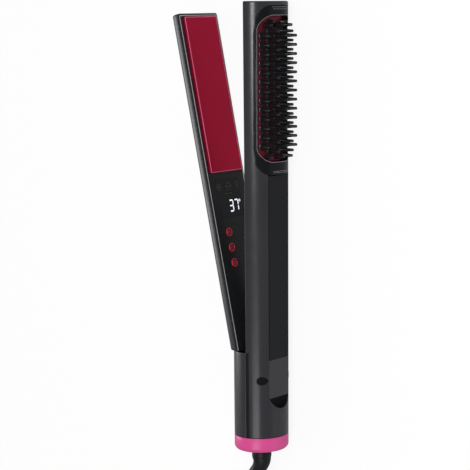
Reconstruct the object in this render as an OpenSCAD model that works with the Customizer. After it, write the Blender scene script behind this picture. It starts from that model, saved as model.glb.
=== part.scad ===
// Steam hair straightener brush: two long arms on one handle, the clamp arm sprung open.
// It lies on its side on a table, brush pins towards +X, arm tips towards +Y.
// Pieces are drawn upright first (x: brush side, z: from the end ring to the tips),
// then tool() lays them down and swing() opens the clamp arm about its hinge.

/* [Body] */
// Length from the bottom of the end ring to the arm tips
body_len = 300; // [260:1:360]
// Width across the handle at the end ring
handle_w = 38.4; // [34:0.2:46]
// Width across the arms at their tips
tip_w = 41.2; // [34:0.2:50]
// Depth of the oval body, front to back
body_depth = 35.4; // [33:0.2:42]
// Wall of the main and rear shells
wall = 1.8; // [1.4:0.1:2.4]
// Height of the pink end ring
ring_h = 10; // [7:0.5:14]
// Height of the rear shell's rim, where the clamp arm begins
rim_z = 68; // [66:1:74]
// Inner face of the main arm
parting_x = 1.7; // [1:0.1:2.2]

/* [Clamp arm] */
// Angle between the arms at rest
open_deg = 12; // [4:1:16]
// Hinge axis, towards the brush side
hinge_x = 11.5; // [9:0.1:12]
// Hinge axis, height above the ring's bottom
hinge_z = 49.5; // [47:0.5:52]
// Depth of the clamp arm behind its inner face
clamp_depth = 11.4; // [10.6:0.1:14]
// Gap between the two inner faces when the arms are closed
arm_gap = 2.4; // [2.2:0.1:4]
// Wall of the clamp shell
clamp_wall = 1.6; // [1.2:0.1:2]

/* [Heater plates] */
// Length of the clamp arm's plate
plate_len = 105.7; // [70:0.1:125]
// Width of the clamp arm's plate
plate_w = 33; // [24:0.5:35]
// Margin from the plate's end to the arm tip
plate_tip_gap = 2.6; // [2.4:0.1:8]
// How far the clamp arm's plate stands proud of its cover
plate_proud = 2; // [0.6:0.1:2]
// Travel of each floating plate into its arm
plate_travel = 0.6; // [0.3:0.1:0.8]

/* [Brush] */
// Rows of pins in a column
pin_rows = 15; // [8:1:16]
// Distance between the rows
pin_pitch = 6; // [5.5:0.1:6.4]
// Length of a pin above the brush plate
pin_len = 9.7; // [5:0.1:12]
// Diameter of a pin at its root
pin_root_d = 3.6; // [2.6:0.1:4]
// Diameter of the collar round a pin, on the plate
pin_collar_d = 5.4; // [4:0.1:5.6]
// Diameter of a pin at its tip
pin_tip_d = 1.8; // [1.2:0.1:2]
// Angle between the fanned columns
pin_fan = 12.5; // [9:0.5:12.5]
// Crown radius of the brush plate
plate_crown_r = 27; // [24:0.5:32]

/* [Controls] */
// Diameter of a push button
button_d = 6; // [4:0.2:7]
// Distance between the buttons
button_pitch = 10.4; // [8.6:0.2:12]
// Travel of a button
button_travel = 0.4; // [0.2:0.1:0.5]

/* [Water tank] */
// Width of the flat panel in front of the tank
panel_w = 21; // [18:0.5:22]
// Depth of the flat panel behind the body's front
panel_set = 2.8; // [2.1:0.1:3.3]
// Wall of the water tank
tank_wall = 1.2; // [0.8:0.1:1.6]

/* [Cord] */
// Diameter of the supply cord
cord_d = 5.5; // [5:0.1:6]
// Diameter of the swivel collar
collar_d = 13.3; // [11:0.1:14]

/* [Hidden] */
$fn = 48;

// Clearances
fit = 0.15;          // between fixed pieces
run = 0.03;          // pins and shafts in their bores
air = 0.3;           // between pieces that move past each other
far = 200;           // larger than any piece, for cutting tools

// Body
oval_n = 72;         // sides of the oval outline
slice = 0.01;        // thickness of a hulled slice
tip_edge = 1.2;      // rounding of the arm tips
half_d = body_depth / 2;
function half_w(z) = (handle_w + (tip_w - handle_w) * z / body_len) / 2;
band_w = 2.2;        // black band between the front and rear shells
lie_z = half_w(body_len - tip_edge);   // height of the tool's axis above the table

// Clamp arm
clamp_x = parting_x - arm_gap;         // its inner face when closed
clamp_power = 2.6;   // power of its rounded back
cover_t = 1.3;       // clamp cover thickness
main_cover_t = 1.6;
rim_gap = 0.5;       // above the rear rim, at rest
cover_end_z = rim_z + 4;               // lower end of the main cover

// Plates
plate_z1 = body_len - plate_tip_gap;
plate_z0 = plate_z1 - plate_len;
main_plate_proud = 0.1;
main_plate_side = 0.6;  // the main plate is this much smaller all round
flange_w = 0.8;
flange_t = 1.1;
heater_t = 1.8;
heater_w = 16;
heater_end = 12;     // heater to plate end
pad_t = 0.8;
pad_l = 6;
pad_end = 14;        // first pad to plate end
pad_step = (plate_len - pad_end - pad_l - 13.7) / 3;

// Brush
brush_l = pin_rows * pin_pitch + 5;
bed_z1 = body_len - 3;
bed_mid = bed_z1 - 54;                 // middle of the brush plate
bed_z0 = bed_mid - brush_l / 2 - 9;
bed_w = 34;
bed_corner = 9;
bed_bulge = 0.6;     // the bed is this much wider beside the brush plate
crown_x = half_d - 4.8 - plate_crown_r;   // centre of the crown
crown_t = 1.2;
backing_t = 1.3;
backing_w = 26.8;
brush_w = 32.4;
brush_corner = 9.5;
pin_hole_gap = 0.2;
end_pin = 0.78;      // length of the end rows' pins, as a share
end_fan = 0.75;      // their fan, as a share, which follows the plate's round ends
end_shift = 1;       // and how far they stand outwards
last_pin = 0.55;     // length of the very last row's pins, as a share
pin_sunk = 0.65;     // how deep a pin is rooted in the strip behind the plate
collar_t = 0.5;
collar_gap = 0.05;   // between a collar and the plate

// Controls, on the clamp arm
button_y = -6.7;
button_z = plate_z0 - 40.7;
button_proud = 0.7;
button_foot = 2;     // length of a button's foot behind the cover
press_gap = 0.2;     // left between the foot and its switch when pressed
window_w = 24.6;
window_z0 = button_z + 9.7;
window_z1 = plate_z0 - 4.9;
window_t = 0.55;
board_x = clamp_x - 4.7;  // front of the control board
board_t = 1.2;
digit_h = 8.3;
digit_w = 4.6;
digit_gap = 0.8;
digits_y = -1.7;     // left edge of the first digit
degree_r = 1;
degree_gap = 1.8;     // from the last digit to the middle of the degree ring
digit_bar = 1.15;
digit_t = 0.07;

// Tank
panel_z0 = ring_h + 27;
panel_z1 = bed_z0 - 0.3;
window_end_z = 63;   // where the black window panel ends
panel_t = 1;
panel_x = half_d - panel_set;          // flat face of the panel
tank_x0 = 5.6;
tank_x1 = panel_x - 2.3;
tank_w = panel_w - 1;
tank_z0 = rim_z;
tank_z1 = panel_z1 - 28;
valve_z = tank_z1 - 8;
valve_r = 1.5;
filler_r = 3;

// Hinge
hinge_r = 1.3;
lug_r = 2.2;
lug_y0 = 5.6;
lug_y1 = 7.8;
cap_r = 2.85;
cap_y = 13.2;

// Cord, on the table: x as on the tool, y from the ring's bottom, height above the table
collar_len = 6.5;
guard_route = [[0, -6.5, 20.6], [0, -10, 20.6], [-2.2, -14.8, 20.5], [-7.2, -20.8, 20],
    [-12.6, -27.8, 18.6], [-17.4, -35.6, 16.2], [-21, -44, 13]];
guard_r = [6.5, 5.8, 5, 4.6, 4.4, 4.2, 4];
lead_route = [[-21, -44, 13], [-24.1, -49.5, 10.7], [-27.4, -55, 8.6], [-30.9, -60.5, 6.7],
    [-34.4, -66, 5.1], [-37.9, -71.6, 3.9], [-41.3, -77.3, 3.1], [-44.6, -83.1, 2.8],
    [-47.7, -89, 2.8], [-50.6, -95, 2.8], [-53.3, -101.1, 2.8], [-55.7, -107.3, 2.9],
    [-57.8, -113.6, 3.1], [-59.5, -120, 3.3], [-60.8, -126.5, 3.5], [-61.4, -133, 3.65],
    [-61.5, -139, 3.65]];
tail_route = [[11.2, -139, 9.75], [12.1, -134, 9.7], [14.7, -129.6, 9.4], [18.6, -126.2, 9],
    [23.3, -123.7, 8.4], [27.8, -121, 7.9], [31.3, -117.4, 7.5], [33.4, -113, 7.2],
    [34, -109.2, 7], [34, -108, 7]];
hank_x = -24;
hank_y = -180;
hank_run = 41;       // half length of a run
hank_in = 16.5;      // half width of the innermost loop
hank_step = 7;       // from loop to loop
hank_layer = 6.1;    // from layer to layer
hank_h = 3.65;       // height of the lower layer
hank_dip = 0.08;     // share drawn in at the waist
ring_per_loop = 24;
hank_turns_in = 3;   // loops wound inwards on the lower layer
tie_w = 12;
tie_t = 0.8;
plug_y = -96;        // cord end of the plug's body
plug_h = 7;          // height of its axis
plug_x = 34;
plug_len = 30;
pin_spacing = 19;
prong_r = 2;
prong_len = 19;

// Where the tool lies: the origin is under the middle of what stands on the table
clamp_reach = hinge_x + (clamp_x - clamp_depth - hinge_x) * cos(open_deg)
    - (body_len - tip_edge - hinge_z) * sin(open_deg);
brush_reach = crown_x + plate_crown_r + pin_len;
mid_x = (clamp_reach + brush_reach) / 2;
mid_y = body_len / 2;

// Lays an upright piece on its side on the table.
module tool() {
    translate([-mid_x, -mid_y, lie_z]) rotate([-90, 0, 0]) children();
}

// Opens a piece of the clamp arm, drawn closed.
module swing(a = open_deg) {
    translate([hinge_x, 0, hinge_z]) rotate([0, -a, 0]) translate([-hinge_x, 0, -hinge_z]) children();
}

// Puts a piece given in table coordinates in its place.
module on_table() {
    translate([-mid_x, -mid_y, 0]) children();
}

// ---- outlines and solids that several pieces share ----

module oval_slice(z, inset) {
    a = half_d - inset;
    b = half_w(z) - inset;
    translate([0, 0, z]) linear_extrude(slice)
        polygon([for (i = [0 : oval_n - 1]) [a * cos(360 * i / oval_n), b * sin(360 * i / oval_n)]]);
}

// The oval body between two heights, its top edge rounded off.
module oval_body(inset, z0, z1, edge = 0) {
    hull() {
        oval_slice(z0, inset);
        oval_slice(z1 - edge - slice, inset);
        oval_slice(z1 - slice, inset + edge);
    }
}

function spow(v, p) = sign(v) * pow(abs(v), p);

module clamp_slice(z, inset) {
    d = clamp_depth - inset;
    w = half_w(z) - inset;
    translate([0, 0, z]) linear_extrude(slice)
        polygon([for (i = [0 : 36]) [clamp_x - d * pow(sin(5 * i), 2 / clamp_power),
            w * spow(cos(5 * i), 2 / clamp_power)]]);
}

// The clamp arm's outer form, closed: a flat inner face and a rounded back.
module clamp_body(inset, z0, z1, edge = 0) {
    hull() {
        clamp_slice(z0, inset);
        clamp_slice(z1 - edge - slice, inset);
        clamp_slice(z1 - slice, inset + edge);
    }
}

// Everything below the clamp arm's lower end, in closed coordinates.
module below_clamp() {
    swing(-open_deg) translate([-far / 2, -far / 2, -far]) cube([far, far, far + rim_z + rim_gap]);
}

module x_slab(x0, x1, z0 = -far, z1 = 2 * far) {
    translate([x0, -far / 2, z0]) cube([x1 - x0, far, z1 - z0]);
}

module x_box(x0, x1, w, z0, z1) {
    translate([x0, -w / 2, z0]) cube([x1 - x0, w, z1 - z0]);
}

module x_rod(x0, x1, r, y, z) {
    translate([x0, y, z]) rotate([0, 90, 0]) cylinder(r = r, h = x1 - x0);
}

module y_rod(x, z, r, y0, y1) {
    translate([x, y0, z]) rotate([-90, 0, 0]) cylinder(r = r, h = y1 - y0);
}

// A rounded rectangle in the YZ plane, pushed along X.
module x_plate(x0, x1, w, z0, z1, r) {
    for (s = [-1, 1]) {
        x_rod(x0, x1, r, s * (w / 2 - r), z0 + r);
        x_rod(x0, x1, r, s * (w / 2 - r), z1 - r);
    }
    x_box(x0, x1, w - 2 * r, z0, z1);
    x_box(x0, x1, w, z0 + r, z1 - r);
}

// Cylinder of the brush's crown.
module crown(r, z0, z1) {
    translate([crown_x, 0, z0]) cylinder(r = r, h = z1 - z0, $fn = 96);
}

module brush_outline(x0, x1, grow) {
    x_plate(x0, x1, brush_w + 2 * grow, bed_mid - brush_l / 2 - grow, bed_mid + brush_l / 2 + grow,
        brush_corner + grow);
}

module bed_outline(x0, x1, grow) {
    x_plate(x0, x1, bed_w + 2 * grow, bed_z0 - grow, bed_z1 + grow, bed_corner + grow);
    x_plate(x0, x1, bed_w + 2 * bed_bulge + 2 * grow, bed_mid - brush_l / 2 + 7,
        bed_mid + brush_l / 2 - 7, 5);
}

// ---- handle and main arm ----

module hinge_boss(s) {
    intersection() {
        y_rod(hinge_x, hinge_z, lug_r + 1, s > 0 ? lug_y1 + air : -far / 4, s > 0 ? far / 4 : -lug_y1 - air);
        oval_body(wall / 2, ring_h, body_len);
        x_slab(0, panel_x - panel_t - air);
    }
}

// Half-moon cut at the panel's lower end.
moon_r = (pow(panel_w / 2, 2) + pow(7.5, 2)) / 15;
module moon(x0, x1, inset) {
    intersection() {
        x_rod(x0, x1, moon_r - inset, 0, panel_z0 - 7.5 + moon_r);
        x_slab(x0 - 1, x1 + 1, 0, panel_z0);
    }
}

module main_shell() {
    color("dimgray") tool() difference() {
        union() {
            difference() {
                intersection() {
                    oval_body(0, ring_h + fit, body_len, tip_edge);
                    union() {
                        x_slab(parting_x, far, rim_z);
                        x_slab(parting_x + band_w, far, 0, rim_z + 1);
                    }
                }
                oval_body(wall, 0, body_len - wall);
            }
            for (s = [-1, 1]) hinge_boss(s);
        }
        x_box(hinge_x + lug_r, far, panel_w + 2 * air, panel_z0 - air, bed_z0 + 1);
        x_box(tank_x0 - 1, far, panel_w + 2 * air, rim_z - 5, bed_z0 + 1);
        moon(half_d - 4, far, 0);
        bed_outline(5, far, 0);
        y_rod(hinge_x, hinge_z, hinge_r + run, -far / 4, far / 4);
        y_rod(hinge_x, hinge_z, cap_r + 0.05, cap_y, far / 4);
        y_rod(hinge_x, hinge_z, cap_r + 0.05, -far / 4, -cap_y);
    }
}

module rear_shell() {
    color("dimgray") tool() difference() {
        intersection() {
            oval_body(0, ring_h + fit, rim_z);
            x_slab(-far, parting_x);
        }
        oval_body(wall, 0, rim_z + 5);
    }
}

module end_ring() {
    color("hotpink") tool() difference() {
        hull() {
            oval_slice(ring_h - slice, 0);
            oval_slice(3.2, 0);
            oval_slice(1.5, 0.6);
            oval_slice(0.4, 1.8);
            oval_slice(0, 3);
        }
        oval_body(2, 2.5, ring_h + 1);
        translate([0, 0, -1]) cylinder(r = collar_d / 2 + fit, h = 5);
        for (s = [-1, 1]) translate([0, s * ring_screw_y, -1]) {
            cylinder(r = 1.15, h = 5);
            cylinder(r = 2.1, h = 2.6);
        }
    }
}

ring_screw_y = 13.6;
module chassis() {
    color("black") tool() {
        // band between the shells, set back a little
        difference() {
            intersection() {
                oval_body(0.35, ring_h + fit, rim_z - fit);
                x_slab(parting_x + 0.05, parting_x + band_w - 0.05);
            }
            oval_body(wall + 1.5, 0, rim_z + 5);
        }
        // skirt that locates both shells
        difference() {
            intersection() {
                oval_body(wall + 0.1, ring_h + 0.4, rim_z - 6);
                x_slab(-3, hinge_x - lug_r - 2.3);
            }
            oval_body(wall + 1.5, 0, rim_z + 5);
        }
        // floor with the seat of the swivel socket and the screw bosses
        difference() {
            union() {
                oval_body(wall + 0.1, ring_h + 0.4, ring_h + 2.4);
                for (s = [-1, 1]) translate([0, s * ring_screw_y, 2.6])
                    cylinder(r = 2.4, h = ring_h - 2);
            }
            translate([0, 0, 0]) cylinder(r = collar_d / 2 + 2, h = ring_h + 5);
            for (s = [-1, 1]) translate([0, s * ring_screw_y, 2]) cylinder(r = 0.95, h = ring_h);
        }
    }
}

module ring_screws() {
    color("silver") tool() for (s = [-1, 1]) translate([0, s * ring_screw_y, 0]) difference() {
        union() {
            translate([0, 0, 0.4]) cylinder(r = 2, h = 1.2);
            cylinder(r = 0.9, h = 10);
        }
        translate([-0.3, -2.1, -1]) cube([0.6, 4.2, 1.9]);
        translate([-3, -3, -1]) cube([6, 6, 1.4]);
    }
}

module thumb_notch() {
    color("black") tool() difference() {
        intersection() {
            moon(half_d - 3.95, far, 0.1);
            oval_body(0.4, 0, panel_z0 + 1);
        }
        moon(half_d - 3.3, far, 0.9);
    }
}

module main_cover() {
    w = plate_w - 2 * main_plate_side;
    color("black") tool() difference() {
        intersection() {
            oval_body(wall + 0.1, 0, body_len - wall - 0.1);
            x_slab(parting_x, parting_x + main_cover_t, cover_end_z);
        }
        x_box(0, 10, w + 2 * air, plate_z0 + main_plate_side - air, plate_z1 - main_plate_side + air);
        for (i = [-2 : 2]) x_rod(0, 10, 0.9, 4.5 * i, plate_z0 - 9);
        x_rod(parting_x + 0.8, 10, 1.9, 0, valve_z);
    }
}

module bed_cover() {
    color("black") tool() difference() {
        intersection() {
            oval_body(0, bed_z0 - 5, body_len, tip_edge);
            bed_outline(5.6, far, -0.1);
        }
        // the brush plate's seat, open above it
        difference() {
            brush_outline(0, far, 0.15);
            crown(plate_crown_r - crown_t - 0.05, 0, body_len);
        }
        brush_outline(0, far, -0.6);
        // hollow ends
        difference() {
            oval_body(2, bed_z0 - 6, body_len - 4);
            brush_outline(0, far, 1.4);
            x_slab(-far, far, -far, bed_z0 + 1.4);
            x_slab(-far, far, bed_z1 - 1.4, 2 * far);
        }
    }
}

function row_z(row) = bed_mid + (row - (pin_rows - 0.5) / 2) * pin_pitch;

// Each pin as [angle, height, length share]: three columns, and two between them half a row up.
function pin_places() = [
    for (row = [0 : pin_rows - 1]) let (end = row == 0 ? -1 : row == pin_rows - 1 ? 1 : 0)
        for (c = [-2, 0, 2]) [c * pin_fan * (end == 0 ? 1 : end_fan), row_z(row) + end * end_shift,
            end == 0 ? 1 : end_pin],
    for (row = [0 : pin_rows - 1]) for (c = [-1, 1])
        [c * pin_fan, row_z(row + 0.5), row == pin_rows - 1 ? last_pin : 1]
];

module on_crown(place, r) {
    translate([crown_x, 0, place[1]]) rotate([0, 0, place[0]]) translate([r, 0, 0])
        rotate([0, 90, 0]) children();
}

module brush_plate() {
    color("crimson") tool() difference() {
        intersection() {
            difference() {
                crown(plate_crown_r, 0, body_len);
                crown(plate_crown_r - crown_t, -1, body_len + 1);
            }
            brush_outline(0, far, 0);
        }
        for (p = pin_places()) on_crown(p, plate_crown_r - crown_t - 1)
            cylinder(r = pin_root_d / 2 + pin_hole_gap, h = crown_t + 3, $fn = 24);
    }
}

module brush_pins() {
    root_r = plate_crown_r - crown_t - backing_t;
    color("black") tool() {
        intersection() {
            difference() {
                crown(root_r + backing_t - 0.15, 0, body_len);
                crown(root_r, -1, body_len + 1);
            }
            brush_outline(0, far, -0.8);
            x_box(0, far, backing_w, 0, body_len);
        }
        for (p = pin_places()) {
            h = crown_t + pin_sunk + pin_len * p[2] - pin_tip_d / 2;
            on_crown(p, root_r + backing_t - pin_sunk) {
                cylinder(r1 = pin_root_d / 2, r2 = pin_tip_d / 2, h = h, $fn = 24);
                translate([0, 0, h]) sphere(r = pin_tip_d / 2, $fn = 24);
                // the short pins at the ends stand too close together for a collar
                if (p[2] == 1) translate([0, 0, crown_t + pin_sunk + collar_gap])
                    cylinder(r1 = pin_collar_d / 2, r2 = pin_collar_d / 2 - collar_t, h = collar_t,
                        $fn = 24);
            }
        }
    }
}

module brush_heater() {
    x1 = crown_x + plate_crown_r - crown_t - backing_t - 1.1;
    color("lightgray") tool() x_box(x1 - 1, x1, 13, bed_mid - brush_l / 2 + 6, bed_mid + brush_l / 2 - 6);
}

module steam_chamber() {
    x0 = parting_x + main_cover_t + air;
    color("silver") tool() difference() {
        x_box(x0, tank_x1 - 1, 18, bed_z0 - 13.5, bed_z0 - 0.5);
        x_box(x0 + 1.5, tank_x1 - 2.5, 15, bed_z0 - 12, bed_z0 - 2);
        for (i = [-2 : 2]) x_rod(0, x0 + 2, 0.9, 3 * i, bed_z0 - 4);
    }
}

module water_socket() {
    color("white") tool() difference() {
        x_rod(parting_x + main_cover_t + 0.05, tank_x0 - air, 3.5, 0, valve_z);
        x_rod(0, 10, valve_r + 0.05, 0, valve_z);
    }
}

module water_tube() {
    color("white") tool() translate([parting_x + main_cover_t + 1, 0, valve_z + 3.55])
        difference() {
            cylinder(r = 0.8, h = bed_z0 - 26.55 - valve_z - 3.5);
            translate([0, 0, -1]) cylinder(r = 0.4, h = far);
        }
}

module pump() {
    color("darkslategray") tool() {
        x_box(3.6, tank_x1 - 1, 15, bed_z0 - 26.5, bed_z0 - 16.5);
        x_rod(tank_x1 - 2, tank_x1 - 0.3, 4, 0, bed_z0 - 21.5);
    }
}

module feed_tube() {
    color("white") tool() translate([7, 0, bed_z0 - 16.5]) difference() {
        cylinder(r = 1.2, h = 3);
        translate([0, 0, -1]) cylinder(r = 0.6, h = 5);
    }
}

module power_board() {
    z0 = ring_h + 2.7;
    x0 = hinge_x - 7.1;  // back of the board, clear of the spring's legs
    x1 = x0 + 1.6;
    color("darkgreen") tool() {
        x_box(x0, x1, 23, z0, z0 + 31);
        x_box(x1, x1 + 5, 9, z0 + 3, z0 + 14);
        x_box(x0 - 6.4, x0, 8, z0 + 12, z0 + 22);
        for (s = [-1, 1]) x_rod(x0 - 8.4, x0, 3, s * 7.5, z0 + 5);
    }
}

module hinge_pin() {
    color("silver") tool() y_rod(hinge_x, hinge_z, hinge_r, -cap_y + 0.1, cap_y - 0.1);
}

module hinge_cap(s) {
    color("black") tool() intersection() {
        y_rod(hinge_x, hinge_z, cap_r, s > 0 ? cap_y : -cap_y - 6, s > 0 ? cap_y + 6 : -cap_y);
        oval_body(-0.12, 0, body_len);
    }
}

module hinge_cap_upper() {
    hinge_cap(-1);
}

module hinge_cap_lower() {
    hinge_cap(1);
}

// Torsion spring round the hinge pin, one unbroken helix with two legs.
spring_wire = 0.7;
spring_coils = 7;
spring_r = hinge_r + 0.12 + spring_wire / 2;
spring_pitch = 1.2;
function spring_point(i) = let (a = 45 * i + 200)
    [hinge_x + spring_r * cos(a), (i / 8 - spring_coils / 2) * spring_pitch, hinge_z + spring_r * sin(a)];
module torsion_spring() {
    turns = [for (i = [0 : 8 * spring_coils]) spring_point(i)];
    first = turns[0];
    last = turns[len(turns) - 1];
    color("gainsboro") tool() tube(concat([first + [-2.2, 0, -5.6]], turns, [last + [-2.2, 0, -5.6]]),
        [for (i = [0 : len(turns) + 1]) spring_wire / 2], 6, [0, 1, 0]);
}

module swivel_socket() {
    r = collar_d / 2;
    color("black") tool() rotate_extrude() difference() {
        translate([r + run, 2.6]) square([3.2, 7.4]);
        translate([r, 5]) square([1.8, 2.4]);
    }
}

// ---- clamp arm, drawn closed ----

post_x = clamp_x - clamp_depth + clamp_wall - 0.3;
cradle_x = clamp_x - cover_t - fit - flange_t - heater_t - pad_t - plate_travel - air;
cradle_t = 1.2;
module clamp_shell() {
    color("dimgray") tool() swing() difference() {
        union() {
            difference() {
                clamp_body(0, rim_z - 10, body_len, tip_edge);
                clamp_body(clamp_wall, rim_z - 12, body_len - clamp_wall);
            }
            // posts that carry the control board and the cradle
            for (z = [button_z - 26, plate_z0 - 3]) for (s = [-1, 1])
                x_rod(post_x, board_x - board_t - 0.05, 1.8, 8.5 * s, z);
            for (z = [plate_z0 + 12, plate_z1 - 12]) for (s = [-1, 1])
                x_rod(post_x, cradle_x - cradle_t - 0.05, 1.8, 8.5 * s, z);
        }
        x_slab(clamp_x - cover_t - fit, far);
        below_clamp();
        for (z = [84, 94]) x_rod(-far, far, 1, 0, z);
    }
}

module clamp_cover() {
    color("black") tool() swing() difference() {
        union() {
            intersection() {
                clamp_body(fit, rim_z - 10, body_len, tip_edge);
                x_slab(clamp_x - cover_t, clamp_x);
            }
            // lip that locates the shell
            intersection() {
                difference() {
                    clamp_body(clamp_wall + 0.1, rim_z - 10, body_len);
                    clamp_body(clamp_wall + 1.1, rim_z - 12, body_len);
                }
                x_slab(clamp_x - cover_t - 1.5, clamp_x - 0.2, rim_z, plate_z0 - 5);
            }
        }
        x_box(-far, far, plate_w + 2 * air, plate_z0 - air, plate_z1 + air);
        for (i = [0 : 2]) x_rod(-far, far, button_d / 2 + 0.1, button_y, button_z - i * button_pitch);
        x_box(clamp_x - window_t - 0.05, far, window_w + 0.2, window_z0 - 0.1, window_z1 + 0.1);
        x_box(-far, far, window_w - 3, window_z0 + 1.5, window_z1 - 1.5);
        below_clamp();
    }
}

module bracket_side(y0, y1) {
    translate([0, y1, 0]) rotate([90, 0, 0]) linear_extrude(y1 - y0) {
        translate([hinge_x, hinge_z]) circle(r = lug_r);
        polygon([[hinge_x, hinge_z - lug_r], [hinge_x, hinge_z + lug_r], [-1.5, hinge_z + 7],
            [clamp_x - 2.6, rim_z - 4], [clamp_x - 2.6, rim_z + 34], [clamp_x - 7, rim_z + 34],
            [clamp_x - 7, hinge_z + 4], [clamp_x - 4, hinge_z]]);
    }
}

module clamp_bracket() {
    color("silver") tool() swing() difference() {
        union() {
            for (s = [-1, 1]) bracket_side(s > 0 ? lug_y0 : -lug_y1, s > 0 ? lug_y1 : -lug_y0);
            x_box(clamp_x - 8.2, clamp_x - 6.8, 2 * lug_y1, hinge_z + 6, rim_z + 34);
        }
        y_rod(hinge_x, hinge_z, hinge_r + run, -far / 4, far / 4);
        for (z = [84, 94]) x_rod(-far, far, 1, 0, z);
    }
}

module bracket_screws() {
    color("silver") tool() swing() for (z = [84, 94]) {
        x_rod(clamp_x - clamp_depth + 0.4, clamp_x - 6.8, 0.95, 0, z);
        x_rod(clamp_x - 6.75, clamp_x - 5.6, 1.9, 0, z);
        x_rod(clamp_x - clamp_depth + clamp_wall + 0.05, clamp_x - 8.25, 2.4, 0, z);
    }
}

module display_window() {
    color("black") tool() swing()
        x_plate(clamp_x - window_t, clamp_x - 0.05, window_w, window_z0, window_z1, 1.2);
}

// One seven-segment digit with its lower left corner at the origin; bars is a string of 0 and 1
// for top, upper right, lower right, bottom, lower left, upper left and middle.
module digit(bars) {
    b = digit_bar;
    w = digit_w;
    h = digit_h;
    spots = [[b / 2, h - b, w - b, b], [w - b, h / 2, b, h / 2 - b / 2], [w - b, b / 2, b, h / 2 - b / 2],
        [b / 2, 0, w - b, b], [0, b / 2, b, h / 2 - b / 2], [0, h / 2, b, h / 2 - b / 2],
        [b / 2, h / 2 - b / 2, w - b, b]];
    for (i = [0 : 6]) if (bars[i] == "1")
        translate([spots[i][0] + 0.08, spots[i][1] + 0.08])
            square([spots[i][2] - 0.16, spots[i][3] - 0.16]);
}

module display_digits() {
    color("white") tool() swing() translate([clamp_x - 0.05, digits_y, window_z0 + 3.4])
        rotate([90, 0, 90]) linear_extrude(digit_t) {
            digit("1111001");
            translate([digit_w + digit_gap, 0]) digit("1110000");
            translate([2 * digit_w + digit_gap + degree_gap, digit_h - 1.3]) difference() {
                circle(r = degree_r, $fn = 24);
                circle(r = degree_r / 2, $fn = 24);
            }
        }
}

module display_module() {
    color("gainsboro") tool() swing()
        x_box(board_x, clamp_x - window_t - 0.1, window_w - 3.4, window_z0 + 1.7, window_z1 - 1.7);
}

module control_board() {
    color("darkgreen") tool() swing() difference() {
        x_box(board_x - board_t, board_x, 22, button_z - 29, plate_z0 - 1);
        for (z = [button_z - 26, plate_z0 - 3]) for (s = [-1, 1]) x_rod(-far, far, 0.8, 8.5 * s, z);
    }
}

module tact_switches() {
    color("black") tool() swing() for (i = [0 : 2]) {
        z = button_z - i * button_pitch;
        translate([board_x, button_y - 2.6, z - 2.6]) cube([0.5, 5.2, 5.2]);
        x_rod(board_x + 0.5, clamp_x - cover_t - button_foot - button_travel - press_gap, 1.2,
            button_y, z);
    }
}

module button(i) {
    back = clamp_x - cover_t;
    color("crimson") tool() swing() translate([0, button_y, button_z - i * button_pitch])
        rotate([0, 90, 0]) rotate_extrude() polygon([[0, back - button_foot], [1, back - button_foot],
            [1, back - 0.9],
            [button_d / 2 + 0.6, back - 0.9], [button_d / 2 + 0.6, back - 0.15], [button_d / 2, back - 0.15],
            [button_d / 2, clamp_x + button_proud - 0.4], [button_d / 2 - 0.4, clamp_x + button_proud],
            [button_d / 2 - 0.9, clamp_x + button_proud], [0, clamp_x + button_proud - 0.2]]);
}

module button_top() {
    button(0);
}

module button_middle() {
    button(1);
}

module button_bottom() {
    button(2);
}

// ---- floating plates ----

// A plate that faces x, standing from x0 to x1, with a flange that a cover holds.
module float_plate(x0, x1, flange_x, w, z0, z1, edge) {
    difference() {
        x_plate(x0, x1, w, z0, z1, 0.6);
        for (s = [-1, 1]) translate([x1, s * w / 2, 0]) rotate([0, 0, 45])
            translate([-edge, -edge, z0 - 1]) cube([2 * edge, 2 * edge, z1 - z0 + 2]);
    }
    x_plate(flange_x, flange_x + flange_t, w + 2 * flange_w, z0 - 0.6, z1 + 0.5, 0.6);
}

module clamp_plate() {
    color("crimson") tool() swing() float_plate(clamp_x - cover_t - fit, clamp_x + plate_proud,
        clamp_x - cover_t - fit - flange_t, plate_w, plate_z0, plate_z1, 0.35);
}

module clamp_heater() {
    x1 = clamp_x - cover_t - fit - flange_t;
    color("wheat") tool() swing()
        x_box(x1 - heater_t, x1, heater_w, plate_z0 + heater_end, plate_z1 - heater_end);
}

module clamp_pads() {
    x1 = clamp_x - cover_t - fit - flange_t - heater_t;
    color("white") tool() swing() for (i = [0 : 3]) let (z = plate_z0 + pad_end + pad_step * i)
        x_box(x1 - pad_t, x1, 10, z, z + pad_l);
}

module plate_cradle() {
    color("ivory") tool() swing() {
        x_box(cradle_x - cradle_t, cradle_x, 22, plate_z0 + 4, plate_z1 - 4);
        for (z = [plate_z0 + 24, plate_z0 + 70])
            x_box(clamp_x - clamp_depth + clamp_wall + 0.2, cradle_x - 1, 8, z, z + 6);
    }
}

module main_plate() {
    color("crimson") tool() mirror([1, 0, 0]) float_plate(-parting_x - main_cover_t - fit,
        -parting_x + main_plate_proud, -parting_x - main_cover_t - fit - flange_t,
        plate_w - 2 * main_plate_side, plate_z0 + main_plate_side, plate_z1 - main_plate_side, 0.35);
}

module main_heater() {
    x0 = parting_x + main_cover_t + fit + flange_t;
    color("wheat") tool() x_box(x0, x0 + heater_t, heater_w, plate_z0 + heater_end, plate_z1 - heater_end);
}

module main_pads() {
    x0 = parting_x + main_cover_t + fit + flange_t + heater_t;
    color("white") tool() for (i = [0 : 3]) let (z = plate_z0 + pad_end + pad_step * i)
        x_box(x0, x0 + pad_t, 10, z, z + pad_l);
}

// ---- water tank, lifts out towards the brush side ----

module tank_window() {
    color("black") tool() {
        x_box(panel_x - panel_t, panel_x, panel_w, window_end_z, panel_z1);
        x_box(tank_x1, panel_x - panel_t, panel_w - 1, rim_z - 1, panel_z1 - 1);
    }
}

module tank_foot() {
    color("gray") tool() x_box(panel_x - panel_t, panel_x, panel_w, panel_z0, window_end_z - 0.05);
}

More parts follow.
